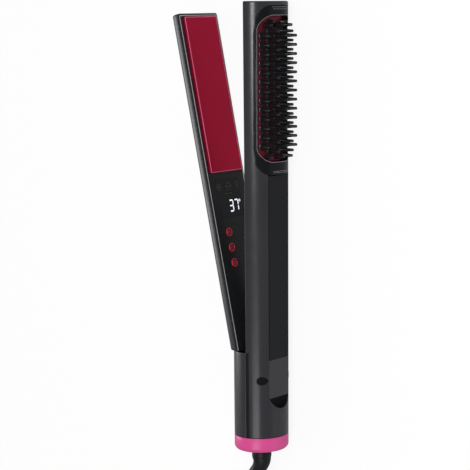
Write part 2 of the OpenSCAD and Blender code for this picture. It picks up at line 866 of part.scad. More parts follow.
module tank_body() {
    t = tank_wall;
    color("lightsteelblue", 0.6) tool() difference() {
        x_box(tank_x0, tank_x1 - 0.05, tank_w, tank_z0, tank_z1);
        x_box(tank_x0 + t, tank_x1 - 0.05 - t, tank_w - 2 * t, tank_z0 + t, tank_z1 - t);
        translate([8.9, 0, tank_z0 - 1]) cylinder(r = filler_r, h = t + 2);
        x_rod(0, tank_x0 + t + 1, valve_r + 0.02, 0, valve_z);
    }
}

module tank_valve() {
    color("black") tool() {
        x_rod(tank_x0 - 1.4, tank_x0 + tank_wall, valve_r, 0, valve_z);
        x_rod(tank_x0 + tank_wall, tank_x0 + tank_wall + 1, valve_r + 1, 0, valve_z);
    }
}

module tank_plug() {
    color("tomato") tool() translate([8.9, 0, 0]) {
        translate([0, 0, tank_z0]) cylinder(r = filler_r - 0.1, h = tank_wall + 0.6);
        translate([0, 0, tank_z0 - 1.4]) cylinder(r = 3.7, h = 1.4);
    }
}

// ---- cord ----

function unit(v) = v / norm(v);

// A closed tube of triangles along points, with a radius at each; first is the first ring's
// direction, the other rings stand square to the route.
module tube(points, radii, sides, up = [0, 0, 1], first = undef, last = undef) {
    n = len(points);
    dirs = [for (i = [0 : n - 1]) i == 0 && first != undef ? first : i == n - 1 && last != undef ? last
        : unit(points[min(i + 1, n - 1)] - points[max(i - 1, 0)])];
    rings = [for (i = [0 : n - 1]) let (s = unit(cross(dirs[i], up)), u = cross(s, dirs[i]))
        for (k = [0 : sides - 1]) let (a = 360 * (k + 0.5) / sides)
            points[i] + radii[i] * (cos(a) * s + sin(a) * u)];
    walls = [for (i = [0 : n - 2]) for (k = [0 : sides - 1]) let (a = i * sides + k,
            b = i * sides + (k + 1) % sides)
        for (f = [[a, b, b + sides], [a, b + sides, a + sides]]) f];
    start = [for (k = [1 : sides - 2]) [0, k + 1, k]];
    e = (n - 1) * sides;
    end = [for (k = [1 : sides - 2]) [e, e + k, e + k + 1]];
    polyhedron(points = rings, faces = concat(walls, start, end));
}

function same(v, n) = [for (i = [1 : n]) v];
lead_dir = unit([-3.7, -6.5, -2.8]);   // of the cord where it leaves its guard

module swivel_collar() {
    r = collar_d / 2;
    color("black") tool() rotate_extrude() difference() {
        union() {
            translate([0, -collar_len]) square([r, collar_len + ring_h + 0.4]);
            translate([0, 5.1]) square([r + 1.7, 2.2]);
        }
        translate([-1, -3]) square([1 + 3, far]);
    }
}

module cord_guard() {
    color("black") on_table() tube(guard_route, guard_r, 12, [0, 0, 1], [0, -1, 0], lead_dir);
}

module cord_lead() {
    color("black") on_table() tube(lead_route, same(cord_d / 2, len(lead_route)), 8, [0, 0, 1],
        lead_dir, [0, -1, 0]);
}

module cord_tail() {
    color("black") on_table() tube(tail_route, same(cord_d / 2, len(tail_route)), 8, [0, 0, 1],
        [0, 1, 0], [0, 1, 0]);
}

// The hank: loops with straight runs, wound inwards on the lower layer, up along a run, and
// outwards again on the upper layer. p counts rings, 24 to a loop: 0 to 4 and 12 to 16 are runs.
hank_p0 = 12;
hank_climb = hank_p0 + ring_per_loop * hank_turns_in;
hank_p1 = hank_climb + 64;
function hank_w(p) = hank_in + hank_step * abs(p - hank_climb) / ring_per_loop;
function smooth(t) = let (c = max(0, min(1, t))) c * c * (3 - 2 * c);
function waist(y) = 1 - hank_dip * (1 + cos(180 * y / hank_run)) / 2;
function hank_level(p) = hank_h + hank_layer * smooth((p - hank_climb) / 4);
function hank_point(p) = let (q = p % ring_per_loop, w = hank_w(p), z = hank_level(p),
        y = q < 4 ? hank_run * (q / 2 - 1) : hank_run * (1 - (q - 12) / 2))
    q < 4 ? [hank_x + w * waist(y), hank_y + y, z]
    : q < 12 ? [hank_x + w * cos(22.5 * (q - 4)), hank_y + hank_run + w * sin(22.5 * (q - 4)), z]
    : q < 16 ? [hank_x - w * waist(y), hank_y + y, z]
    : [hank_x - w * cos(22.5 * (q - 16)), hank_y - hank_run - w * sin(22.5 * (q - 16)), z];

hank_points = [for (p = [hank_p0 : hank_p1]) hank_point(p)];
hank_fine = [for (p = [hank_p0 : 0.5 : hank_p1]) hank_point(p)];
// Least distance between stretches of the hank that lie more than half a loop apart.
hank_gap = min([for (i = [0 : len(hank_fine) - 1]) for (j = [i + 16 : 1 : len(hank_fine) - 1])
    norm(hank_fine[i] - hank_fine[j])]) - cord_d;
function route_length(r, i = 0) = i >= len(r) - 1 ? 0 : norm(r[i + 1] - r[i]) + route_length(r, i + 1);

module cord_hank() {
    color("black") on_table() tube(hank_points, same(cord_d / 2, len(hank_points)), 6, [0, 0, 1],
        [0, -1, 0], [0, 1, 0]);
}

module tie_band(grow, w) {
    x0 = hank_x - hank_w(hank_p0 + 2) * (1 - hank_dip) - cord_d / 2 - air - grow;
    x1 = hank_x + hank_w(hank_p1 - 2) * (1 - hank_dip) + cord_d / 2 + air + grow;
    h0 = hank_h - cord_d / 2 - 0.05 - grow;
    h1 = hank_h + hank_layer + cord_d / 2 + air + grow;
    r = cord_d / 2 + grow;
    translate([0, hank_y + w / 2, 0]) rotate([90, 0, 0]) linear_extrude(w) {
        for (x = [x0 + r, x1 - r]) for (h = [h0 + r, h1 - r]) translate([x, h]) circle(r = r);
        translate([x0 + r, h0]) square([x1 - x0 - 2 * r, h1 - h0]);
        translate([x0, h0 + r]) square([x1 - x0, h1 - h0 - 2 * r]);
    }
}

module cord_tie() {
    color("black") on_table() difference() {
        tie_band(tie_t, tie_w);
        tie_band(0, tie_w + 2);
    }
}

module plug_body() {
    relief = [for (y = [-12, -6, 0]) [plug_x, plug_y + y, plug_h]];
    color("black") on_table() {
        tube(relief, [3.4, 4.2, 5.2], 12, [0, 0, 1], [0, 1, 0], [0, 1, 0]);
        translate([plug_x, 0, 0]) linear_extrude(2 * plug_h) polygon([[-7, plug_y], [7, plug_y],
            [12, plug_y + 8], [17.6, plug_y + 20], [17.6, plug_y + plug_len],
            [-17.6, plug_y + plug_len], [-17.6, plug_y + 20], [-12, plug_y + 8]]);
    }
}

module plug_pins() {
    color("silver") on_table() for (s = [-1, 1])
        translate([plug_x + s * pin_spacing / 2, plug_y + plug_len, plug_h]) rotate([-90, 0, 0])
            cylinder(r = prong_r, h = prong_len);
}

echo(hank_gap = hank_gap);
echo(hank_length = route_length(hank_fine));

main_shell();
rear_shell();
end_ring();
chassis();
thumb_notch();
main_cover();
bed_cover();
brush_plate();
brush_pins();
brush_heater();
steam_chamber();
water_socket();
water_tube();
pump();
feed_tube();
power_board();
hinge_pin();
hinge_cap_upper();
hinge_cap_lower();
torsion_spring();
swivel_socket();
ring_screws();
clamp_shell();
clamp_cover();
clamp_bracket();
bracket_screws();
display_window();
display_digits();
display_module();
control_board();
tact_switches();
plate_cradle();
clamp_plate();
clamp_heater();
clamp_pads();
main_plate();
main_heater();
main_pads();
button_top();
button_middle();
button_bottom();
tank_window();
tank_foot();
tank_body();
tank_valve();
tank_plug();
swivel_collar();
cord_guard();
cord_lead();
cord_hank();
cord_tail();
cord_tie();
plug_body();
plug_pins();
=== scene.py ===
"""Steam hair straightener brush: its looks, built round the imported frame.

Sizes in the sections are millimetres on the upright tool: x towards the brush, y sideways and z
from the bottom of the end ring to the arm tips. lay() turns such points into the frame's metres.
"""
import math

import bmesh
import bpy
import numpy as np
from mathutils import Matrix, Vector


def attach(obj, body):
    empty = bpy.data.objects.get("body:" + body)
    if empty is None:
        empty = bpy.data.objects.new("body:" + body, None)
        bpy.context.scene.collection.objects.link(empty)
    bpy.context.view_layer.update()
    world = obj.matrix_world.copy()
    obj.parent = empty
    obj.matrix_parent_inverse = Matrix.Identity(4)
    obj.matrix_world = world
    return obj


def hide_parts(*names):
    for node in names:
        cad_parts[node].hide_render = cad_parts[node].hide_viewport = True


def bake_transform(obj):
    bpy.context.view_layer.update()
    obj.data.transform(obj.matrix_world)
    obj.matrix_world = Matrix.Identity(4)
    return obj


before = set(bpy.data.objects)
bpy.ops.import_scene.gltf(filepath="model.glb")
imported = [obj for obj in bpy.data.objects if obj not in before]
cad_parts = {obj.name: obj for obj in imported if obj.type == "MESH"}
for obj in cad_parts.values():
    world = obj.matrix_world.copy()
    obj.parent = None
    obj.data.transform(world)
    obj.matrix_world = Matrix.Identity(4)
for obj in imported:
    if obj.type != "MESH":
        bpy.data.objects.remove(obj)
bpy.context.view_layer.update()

# ---- table and camera
# The tool lies on its side on a pale table, as it is put down between strokes, and the camera
# looks down on it from the brush side, square to its length, with a long lens.
TOOL_MIDDLE_X = -20.4083
TOOL_MIDDLE_Z = 150.0
AXIS_HEIGHT = 20.5944


def lay(p):
    """Upright millimetres to metres in the frame: (x - middle, z - middle, height - y) / 1000."""
    p = np.asarray(p, float)
    return np.stack([p[..., 0] - TOOL_MIDDLE_X, p[..., 2] - TOOL_MIDDLE_Z, AXIS_HEIGHT - p[..., 1]],
                    -1) / 1000


def on_table(p):
    """Millimetres across the table, along it and above it, to metres in the frame."""
    p = np.asarray(p, float)
    return np.stack([p[..., 0] - TOOL_MIDDLE_X, p[..., 1] - TOOL_MIDDLE_Z, p[..., 2]], -1) / 1000


CAMERA_AT = (691.5, -906.3, 301.2)
CAMERA_RIGHT = (0.78637, -0.00694, -0.61771)
CAMERA_UP = (-0.07835, 0.99074, -0.11087)
CAMERA_BACK = (0.61276, 0.13558, 0.77855)
FOCAL_PIXELS = 1723.0
PHOTO_PIXELS = 470.0
SENSOR = 36.0

camera_data = bpy.data.cameras.new("camera")
camera_data.sensor_width = SENSOR
camera_data.lens = SENSOR * FOCAL_PIXELS / PHOTO_PIXELS
camera_data.clip_start, camera_data.clip_end = 0.05, 20
camera = bpy.data.objects.new("camera", camera_data)
turn = Matrix((CAMERA_RIGHT, CAMERA_UP, CAMERA_BACK)).transposed().to_4x4()
camera.matrix_world = Matrix.Translation(lay(CAMERA_AT).tolist()) @ turn
bpy.context.collection.objects.link(camera)
bpy.context.scene.camera = camera


def srgb(r, g, b):
    """Screen colour, 0 to 255, to the linear colour a shader takes."""
    c = np.array([r, g, b]) / 255
    return (*np.where(c <= 0.04045, c / 12.92, ((c + 0.055) / 1.055) ** 2.4).tolist(), 1.0)


def feed(tree, made, inputs):
    """Sets a node's inputs to values, or links them to sockets or to other nodes' first output."""
    for key, value in inputs.items():
        if isinstance(value, bpy.types.Node):
            value = value.outputs[0]
        if isinstance(value, bpy.types.NodeSocket):
            tree.links.new(value, made.inputs[key])
        else:
            made.inputs[key].default_value = value
    return made


def node(tree, kind, inputs=(), **settings):
    """One shader node with its settings and inputs."""
    made = tree.nodes.new("ShaderNode" + kind)
    for key, value in settings.items():
        setattr(made, key, value)
    return feed(tree, made, dict(inputs))


def white(tree, kind, strength):
    """White light of one strength, from a table or a room."""
    return node(tree, kind, {"Color": (1, 1, 1, 1), "Strength": strength})


def by_ray(tree, ray, share, plain, seen, mirrored):
    """Mix of three shaders: plain lights the tool, seen reaches the camera by its share, and
    mirrored shows in glossy faces."""
    both = node(tree, "MixShader", {0: share, 1: plain, 2: seen})
    return node(tree, "MixShader", {0: ray.outputs["Is Glossy Ray"], 1: both, 2: mirrored})


TABLE_REACH, TABLE_GREY, TABLE_GLOW, MIRRORED_GLOW = 4, 0.86, 0.9, 0.36
floor_mesh = bpy.data.meshes.new("table_top")
floor_mesh.from_pydata([(x * TABLE_REACH, y * TABLE_REACH, 0)
                        for x, y in ((-1, -1), (1, -1), (1, 1), (-1, 1))], [], [(0, 1, 2, 3)])
floor = bpy.data.objects.new("table_top", floor_mesh)
bpy.context.collection.objects.link(floor)
table_finish = bpy.data.materials.new("pale_table")
table_finish.use_nodes = True
t = table_finish.node_tree
t.nodes.clear()
ray = node(t, "LightPath")
seen = node(t, "Math", {0: ray.outputs["Is Camera Ray"], 1: ray.outputs["Is Transmission Ray"]},
            operation="MAXIMUM")
share = node(t, "Math", {0: seen, 1: TABLE_GLOW}, operation="MULTIPLY")
matt = node(t, "BsdfDiffuse", {"Color": (TABLE_GREY, TABLE_GREY, TABLE_GREY, 1)})
node(t, "OutputMaterial", {"Surface": by_ray(t, ray, share, matt, white(t, "Emission", 1.0),
                                             white(t, "Emission", MIRRORED_GLOW))})
floor_mesh.materials.append(table_finish)

# ---- supply cord
# Round two-core flex with a black rubbery sheath, 5.5 mm across, about 2 m long. It leaves the
# swivelling guard, drops to the table and is folded into a hank of two layers for storage.
CORD_WIDE = 5.5
LEAD = [[-21, -44, 13], [-24.1, -49.5, 10.7], [-27.4, -55, 8.6], [-30.9, -60.5, 6.7],
        [-34.4, -66, 5.1], [-37.9, -71.6, 3.9], [-41.3, -77.3, 3.1], [-44.6, -83.1, 2.8],
        [-47.7, -89, 2.8], [-50.6, -95, 2.8], [-53.3, -101.1, 2.8], [-55.7, -107.3, 2.9],
        [-57.8, -113.6, 3.1], [-59.5, -120, 3.3], [-60.8, -126.5, 3.5], [-61.4, -133, 3.65],
        [-61.5, -139, 3.65]]
TAIL = [[11.2, -139, 9.75], [12.1, -134, 9.7], [14.7, -129.6, 9.4], [18.6, -126.2, 9],
        [23.3, -123.7, 8.4], [27.8, -121, 7.9], [31.3, -117.4, 7.5], [33.4, -113, 7.2],
        [34, -109.2, 7], [34, -108, 7]]
HANK_MIDDLE = (-24.0, -180.0)
HANK_RUN = 41.0
HANK_INNER = 16.5
HANK_STEP = 7.0
HANK_LAYER = 6.1
HANK_HEIGHT = 3.65
HANK_DIP = 0.08
HANK_START, HANK_CLIMB, HANK_END = 12, 84, 148
LOOP, HALF_LOOP, RUN = 24, 12, 4


def xyz(x, y, z):
    """Points from three coordinates, each a number or an array."""
    return np.stack(np.broadcast_arrays(x, y, z), -1).astype(float)


def full_turn(n):
    """n angles round a circle."""
    return np.arange(n) * 2 * np.pi / n


def quarter_turn(n):
    """n angles from 0 to a right angle."""
    return np.linspace(0, np.pi / 2, n)


def smoothly(t):
    """3t^2 - 2t^3 between 0 and 1."""
    c = np.clip(t, 0, 1)
    return c * c * (3 - 2 * c)


def hank(p):
    """Point p of the hank, 24 to a loop: two straight runs drawn in at the waist by a cosine,
    joined by half circles, each loop a step wider or narrower than the last."""
    w = HANK_INNER + HANK_STEP * np.abs(p - HANK_CLIMB) / LOOP
    z = HANK_HEIGHT + HANK_LAYER * smoothly((p - HANK_CLIMB) / RUN)
    side = np.where(p % LOOP < HALF_LOOP, 1.0, -1.0)
    q = p % HALF_LOOP
    y = side * HANK_RUN * (2 * q / RUN - 1)
    drawn = 1 - HANK_DIP * (1 + np.cos(np.pi * y / HANK_RUN)) / 2
    a = np.pi * (q - RUN) / (HALF_LOOP - RUN)
    x = np.where(q < RUN, w * drawn, w * np.cos(a)) * side
    y = np.where(q < RUN, y, side * (HANK_RUN + w * np.sin(a)))
    return xyz(HANK_MIDDLE[0] + x, HANK_MIDDLE[1] + y, z)


def smooth_path(points, step):
    """Catmull-Rom curve through the points, cut into even steps along its length."""
    p = np.asarray(points, float)
    q = np.vstack([2 * p[0] - p[1], p, 2 * p[-1] - p[-2]])
    t = np.linspace(0, 1, 12, endpoint=False)[:, None]
    a, b, c, d = (q[i:len(q) - 3 + i, None] for i in range(4))
    line = 0.5 * (2 * b + (c - a) * t + (2 * a - 5 * b + 4 * c - d) * t ** 2
                  + (3 * b - a - 3 * c + d) * t ** 3)
    line = np.vstack([line.reshape(-1, 3), p[-1:]])
    s = np.r_[0, np.cumsum(np.linalg.norm(np.diff(line, axis=0), axis=1))]
    even = np.linspace(0, s[-1], int(s[-1] / step) + 1)
    return np.stack([np.interp(even, s, line[:, i]) for i in range(3)], -1)


def unit(v):
    """Directions of length 1."""
    return v / np.linalg.norm(v, axis=-1, keepdims=True)


def rings(path, radii, across, up, sides):
    """Circles carried along a path: centre + radius (cos a across + sin a up)."""
    a = full_turn(sides)[:, None]
    radii = np.broadcast_to(radii, len(path))[:, None, None]
    return path[:, None] + radii * (np.cos(a) * across[:, None] + np.sin(a) * up[:, None])


def capped(path, grid):
    """Rings closed by the two ends of their path."""
    return np.concatenate([path[:1, None] + 0 * grid[:1], grid, path[-1:, None] + 0 * grid[:1]])


def tube(path, radii, sides):
    """Rings that stand square to the path, closed at both ends."""
    along = unit(np.gradient(path, axis=0))
    across = unit(np.cross(along, (0, 0, 1)))
    return capped(path, rings(path, radii, across, np.cross(across, along), sides))


def patina_group():
    """Slow drift of colour, smudges in the gloss, and the fine grain of a moulded surface."""
    g = bpy.data.node_groups.new("moulded_surface", "ShaderNodeTree")
    for name, kind in (("Vector", "Vector"), ("Color", "Color"), ("Shade", "Float"),
                       ("Roughness", "Float"), ("Smudge", "Float"), ("Grain", "Float")):
        g.interface.new_socket(name, in_out="INPUT", socket_type="NodeSocket" + kind)
    for name, kind in (("Color", "Color"), ("Roughness", "Float"), ("Height", "Float")):
        g.interface.new_socket(name, in_out="OUTPUT", socket_type="NodeSocket" + kind)
    given = g.nodes.new("NodeGroupInput").outputs
    drift = node(g, "TexNoise", {"Vector": given["Vector"], "Scale": 28.0, "Detail": 3.0})
    smudge = node(g, "TexNoise", {"Vector": given["Vector"], "Scale": 150.0, "Detail": 5.0,
                                  "Distortion": 0.7})
    grain = node(g, "TexNoise", {"Vector": given["Vector"], "Scale": given["Grain"],
                                 "Detail": 2.0})
    level = node(g, "MapRange", {"Value": drift, "From Min": 0.3, "From Max": 0.7,
                                 "To Min": -1.0, "To Max": 1.0})
    gain = node(g, "Math", {0: level, 1: given["Shade"], 2: 1.0}, operation="MULTIPLY_ADD")
    tint = node(g, "VectorMath", {0: given["Color"], "Scale": gain}, operation="SCALE")
    off = node(g, "Math", {0: smudge, 1: 0.5}, operation="SUBTRACT")
    rough = node(g, "Math", {0: off, 1: given["Smudge"], 2: given["Roughness"]},
                 operation="MULTIPLY_ADD")
    feed(g, g.nodes.new("NodeGroupOutput"), {"Color": tint, "Roughness": rough, "Height": grain})
    return g


moulded_surface = patina_group()


def moulded(name, colour, roughness, shade=0.05, smudge=0.1, grain=900.0, bump=0.05, depth=2e-5,
            **plain):
    """Material of a moulded, coated or drawn part: the shared surface group feeds its colour,
    roughness and bump; colour is a screen colour and plain are the shader's own values."""
    made = bpy.data.materials.new(name)
    made.use_nodes = True
    t = made.node_tree
    effect = node(t, "Group", {
        "Vector": node(t, "TexCoord").outputs["Object"], "Color": srgb(*colour), "Shade": shade,
        "Roughness": roughness, "Smudge": smudge, "Grain": grain}, node_tree=moulded_surface)
    dents = node(t, "Bump", {"Strength": bump, "Distance": depth,
                             "Height": effect.outputs["Height"]})
    feed(t, t.nodes["Principled BSDF"], {
        "Base Color": effect.outputs["Color"], "Roughness": effect.outputs["Roughness"],
        "Normal": dents, **{key.replace("_", " "): value for key, value in plain.items()}})
    return made


def piece(name, body, finish, grids, wrap=(False, True), wall=0.0, about=None,
          place=lay):
    """A mesh from grids of points: neighbours along rows and columns make its faces, points that
    meet are merged, and faces turn outwards, or away from the line x = about when it is open."""
    corners, faces, first = [], [], 0
    for grid in grids:
        n, m = grid.shape[:2]
        i = np.arange(n if wrap[0] else n - 1)[:, None]
        j = np.arange(m if wrap[1] else m - 1)[None]
        i1, j1 = (i + 1) % n, (j + 1) % m
        four = np.broadcast_arrays(i * m + j, i1 * m + j, i1 * m + j1, i * m + j1)
        faces.append(np.stack(four, -1).reshape(-1, 4) + first)
        corners.append(grid.reshape(-1, 3))
        first += n * m
    mesh = bpy.data.meshes.new(name)
    mesh.from_pydata(place(np.vstack(corners)).tolist(), [], np.vstack(faces).tolist())
    bm = bmesh.new()
    bm.from_mesh(mesh)
    bmesh.ops.remove_doubles(bm, verts=bm.verts, dist=4e-7)
    bmesh.ops.recalc_face_normals(bm, faces=bm.faces)
    if about is None:
        outward = bm.calc_volume(signed=True)
    else:
        middle = lay((about, 0, 0))
        outward = sum(f.calc_area() * ((f.calc_center_median().x - middle[0]) * f.normal.x
                                       + (f.calc_center_median().z - middle[2]) * f.normal.z)
                      for f in bm.faces)
    if outward < 0:
        bmesh.ops.reverse_faces(bm, faces=bm.faces)
    bm.to_mesh(mesh)
    bm.free()
    made = bpy.data.objects.new(name, mesh)
    bpy.context.collection.objects.link(made)
    if wall:
        skin = made.modifiers.new("wall", "SOLIDIFY")
        skin.thickness, skin.offset = wall / 1000, -1.0
    settle(made)
    made.data.materials.append(finish)
    if body:
        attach(made, body)
    return made


def settle(made):
    """Applies the modifiers, then shades the mesh smooth except across edges over 35 degrees."""
    bpy.context.view_layer.update()
    if made.modifiers:
        seen = made.evaluated_get(bpy.context.evaluated_depsgraph_get())
        mesh = bpy.data.meshes.new_from_object(seen)
        made.modifiers.clear()
        made.data = mesh
    made.data.polygons.foreach_set("use_smooth", np.ones(len(made.data.polygons), bool))
    made.data.set_sharp_from_angle(angle=math.radians(35))


sheath = moulded("cord_sheath", (30, 30, 32), 0.5, shade=0.12, smudge=0.12, bump=0.2,
                 Specular_IOR_Level=0.4)
route = np.vstack([LEAD[:-1], hank(np.arange(HANK_START, HANK_END + 0.5, 0.5)), TAIL[1:]])
cord_line = smooth_path(route, 2.2)
cord = piece("supply_cord", None, sheath, [tube(cord_line, CORD_WIDE / 2, 12)],
             place=on_table)
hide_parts("cord_lead", "cord_hank", "cord_tail")

# ---- plug
# Flat two-pin mains plug moulded onto the cord in the same black compound, with finger ribs, a
# short strain relief and round nickel-plated pins that wear a sleeve for half their length.
PLUG_X, PLUG_Y, PLUG_HEIGHT = 34.0, -96.0, 7.0
PLUG_LONG, PRONG_GAP, PRONG_LONG, PRONG_R, SLEEVE_LONG = 30.0, 19.0, 19.0, 2.0, 9.5


def ring_of(power, sides):
    """Directions round a superellipse: sign(cos) |cos|^(2/power), sign(sin) |sin|^(2/power)."""
    a = (np.arange(sides) + 0.5) * 2 * np.pi / sides
    c, s = np.cos(a), np.sin(a)
    return (np.sign(c) * np.abs(c)[None] ** (2 / power)[:, None],
            np.sign(s) * np.abs(s)[None] ** (2 / power)[:, None])


plug_y = np.array([-12, -12, -9, -6, -3, -0.5, 1, 4, 8, 12, 14, 14.6, 15.4, 16, 17.6, 18.2, 19,
                   19.6, 21.2, 21.8, 22.6, 23.2, 26, 29, 29.7, 30, 30])
plug_wide = np.interp(plug_y, [-12, -6, 0, 8, 20, 30], [3.3, 4.1, 5.6, 12, 17.4, 17.4])
plug_thick = np.interp(plug_y, [-12, -6, 0, 8, 20, 30], [3.3, 4.1, 5.4, 6.6, 6.9, 6.9])
groove = np.isin(plug_y, [14.6, 15.4, 18.2, 19, 21.8, 22.6]) * 0.6
shrink = np.where(plug_y >= 29.7, (plug_y - 29.7) * 3, 0) + groove
hold = np.ones_like(plug_y)
hold[[0, -1]] = 0
plug_power = np.interp(plug_y, [-6, 8], [2.0, 3.6])
cx, sx = ring_of(plug_power, 48)
plug_grid = xyz(PLUG_X + cx * ((plug_wide - shrink) * hold)[:, None], PLUG_Y + plug_y[:, None],
                PLUG_HEIGHT + sx * ((plug_thick - shrink) * hold)[:, None])
plug = piece("mains_plug", "main", sheath, [plug_grid], place=on_table)
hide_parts("plug_body")


def turned(profile, sides=32):
    """A profile of (height, radius) turned about its axis: radius cos a, radius sin a, height."""
    h, r = np.asarray(profile, float).T
    a = full_turn(sides)
    return xyz(r[:, None] * np.cos(a), r[:, None] * np.sin(a), h[:, None])


def rounded(r, e, z0, z1):
    """Half outline of a disc or rod: flat ends, and edges rounded by e."""
    a = quarter_turn(5)
    low = np.stack([z0 + e - e * np.cos(a), r - e + e * np.sin(a)], -1)
    high = np.stack([z1 - e + e * np.sin(a), r - e + e * np.cos(a)], -1)
    return np.vstack([[z0, 0], low, high, [z1, 0]])


nickel = moulded("plug_pin_metal", (200, 198, 192), 0.22, shade=0.03, bump=0.04, Metallic=1.0)
prongs, sleeves = [], []
for side in (-1, 1):
    prong = turned(rounded(PRONG_R, 0.9, 0, PRONG_LONG))
    sleeve = turned(rounded(PRONG_R + 0.02, 0.15, 0.2, SLEEVE_LONG))
    at = (PLUG_X + side * PRONG_GAP / 2, PLUG_Y + PLUG_LONG, PLUG_HEIGHT)
    prongs.append(prong[..., [0, 2, 1]] + at)
    sleeves.append(sleeve[..., [0, 2, 1]] + at)
plug_prongs = piece("plug_prongs", "main", nickel, prongs, place=on_table)
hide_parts("plug_pins")
plug_sleeves = piece("plug_prong_sleeves", "main", sheath, sleeves,
                     place=on_table)

# ---- cord tie
# Strip of black hook-and-loop tape, 12 mm wide, wrapped once round the waist of the hank. Its
# end laps over itself on top.
TIE_LOW, TIE_HIGH = (-61.0, 0.85), (10.9, 12.8)
TIE_THICK, TIE_HALF_WIDE, TIE_ROUND = 0.8, 6.0, 2.75


def outline(low, high, r, turn=14, across=10, along=30):
    """Closed outline of a rounded rectangle: corner centre + r (cos a, sin a), joined by straight
    sides, with the same number of points for any size."""
    r = min(r, (high[0] - low[0]) / 2 - 1e-4)
    a = quarter_turn(turn)
    corners = [np.stack([x + r * np.cos(a + k * np.pi / 2), y + r * np.sin(a + k * np.pi / 2)], -1)
               for k, (x, y) in enumerate([(high[0] - r, high[1] - r), (low[0] + r, high[1] - r),
                                           (low[0] + r, low[1] + r), (high[0] - r, low[1] + r)])]
    loops = []
    for k, arc in enumerate(corners):
        share = np.linspace(0, 1, (across, along)[k % 2] + 2)[1:-1, None]
        loops += [arc, arc[-1] + (corners[(k + 1) % 4][0] - arc[-1]) * share]
    return np.vstack(loops)


def tie_ring(grow, edge):
    """The tape's cross-section at one width, grown outwards."""
    line = outline(np.subtract(TIE_LOW, grow), np.add(TIE_HIGH, grow), TIE_ROUND + grow, 9, 0, 0)
    return xyz(line[:, 0], HANK_MIDDLE[1] + edge, line[:, 1])


tape = moulded("hook_and_loop_tape", (26, 26, 28), 0.95, shade=0.3, smudge=0.05, grain=2600.0,
               bump=1.0, depth=2e-4, Sheen_Weight=0.12, Sheen_Roughness=0.5)
tie_rows = [(0.05, -0.1), (0.5, 0), (TIE_THICK - 0.05, -0.2), (TIE_THICK, -0.8)]
tie_grid = np.stack(
    [tie_ring(grow, -TIE_HALF_WIDE - out) for grow, out in tie_rows]
    + [tie_ring(TIE_THICK - 0.02, -2), tie_ring(TIE_THICK, 2)]
    + [tie_ring(grow, TIE_HALF_WIDE + out) for grow, out in tie_rows[::-1]]
    + [tie_ring(0, 3), tie_ring(0, -3)])
cord_tie = piece("cord_tie_tape", "main", tape, [tie_grid], wrap=(True, True),
                 place=on_table)
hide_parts("cord_tie")

# ---- swivel collar and cord guard
# The cord turns freely in the handle: a short black collar runs in a socket inside the end ring,
# and a soft guard moulded to it bends with the cord, its outer half cut into ribs.
COLLAR_R, COLLAR_LOW = 6.65, -6.5
GUARD = [[0, -5.5, 20.6], [0, -6.5, 20.6], [0, -10, 20.6], [-2.2, -14.8, 20.5], [-7.2, -20.8, 20],
         [-12.6, -27.8, 18.6], [-17.4, -35.6, 16.2], [-21, -44, 13]]
GUARD_AT = [0, 1, 4.5, 10, 18, 27, 36, 45.5]
GUARD_R = [6.6, 6.5, 5.8, 5.0, 4.6, 4.4, 4.2, 4]
RIBS, RIB_DEEP, RIBS_FROM, RIBS_TO, RIBS_FADE_IN, RIBS_FADE_OUT = 17, 0.5, 0.45, 0.95, 0.05, 0.03

guard_black = moulded("guard_rubber", (25, 25, 27), 0.42, shade=0.1, smudge=0.12, grain=1100.0,
                      bump=0.15, Specular_IOR_Level=0.35)
collar_profile = [[4.5, 0], [4.5, COLLAR_R], [0.2, COLLAR_R], [0.0, COLLAR_R - 0.12],
                  [-0.25, COLLAR_R - 0.12], [-0.45, COLLAR_R], [-5.9, COLLAR_R],
                  [-6.2, COLLAR_R - 0.08], [-6.45, COLLAR_R - 0.3], [COLLAR_LOW, COLLAR_R - 0.6],
                  [COLLAR_LOW, 0]]
collar = piece("swivel_collar_ring", "swivel", guard_black, [turned(collar_profile, 64)])
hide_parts("swivel_collar")
guard_line = smooth_path(GUARD, 0.35)
guard_s = np.linspace(0, 1, len(guard_line))
guard_r = np.interp(guard_s * GUARD_AT[-1], GUARD_AT, GUARD_R)
ribs = (smoothly((guard_s - RIBS_FROM) / RIBS_FADE_IN)
        * smoothly((RIBS_TO - guard_s) / RIBS_FADE_OUT))
guard_r -= RIB_DEEP * ribs * smoothly((np.cos(guard_s * 2 * np.pi * RIBS) - 0.1) / 0.5)
guard_r[-4:] -= np.array([0.05, 0.2, 0.5, 1.0])
guard = piece("cord_guard_sleeve", "swivel", guard_black,
              [tube(guard_line, guard_r, 40)], place=on_table)
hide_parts("cord_guard")
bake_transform(cord)

# ---- end ring
# Bright pink ring of glossy ABS that closes the handle, bored for the collar, its bottom edge
# rounded. Two screws in wells hold it to the frame inside.
HALF_DEEP, HALF_WIDE, WIDER_AT_TIP, TIP_Z = 17.7, 19.2, 1.4, 300.0
RING_HIGH, RING_ROUND, BORE_R = 10.0, 3.0, 6.8
WELL_OUT, WELL_R, WELL_DEEP = 13.6, 2.1, 1.6


def half_wide(z):
    """Half width of the oval body, which widens a little from the ring to the tips."""
    return HALF_WIDE + WIDER_AT_TIP * np.asarray(z, float) / TIP_Z


def oval(a, z, inset=0.0):
    """Point on the oval body: (half depth) cos a, (half width) sin a, z."""
    return xyz((HALF_DEEP - inset) * np.cos(a), (half_wide(z) - inset) * np.sin(a), z)


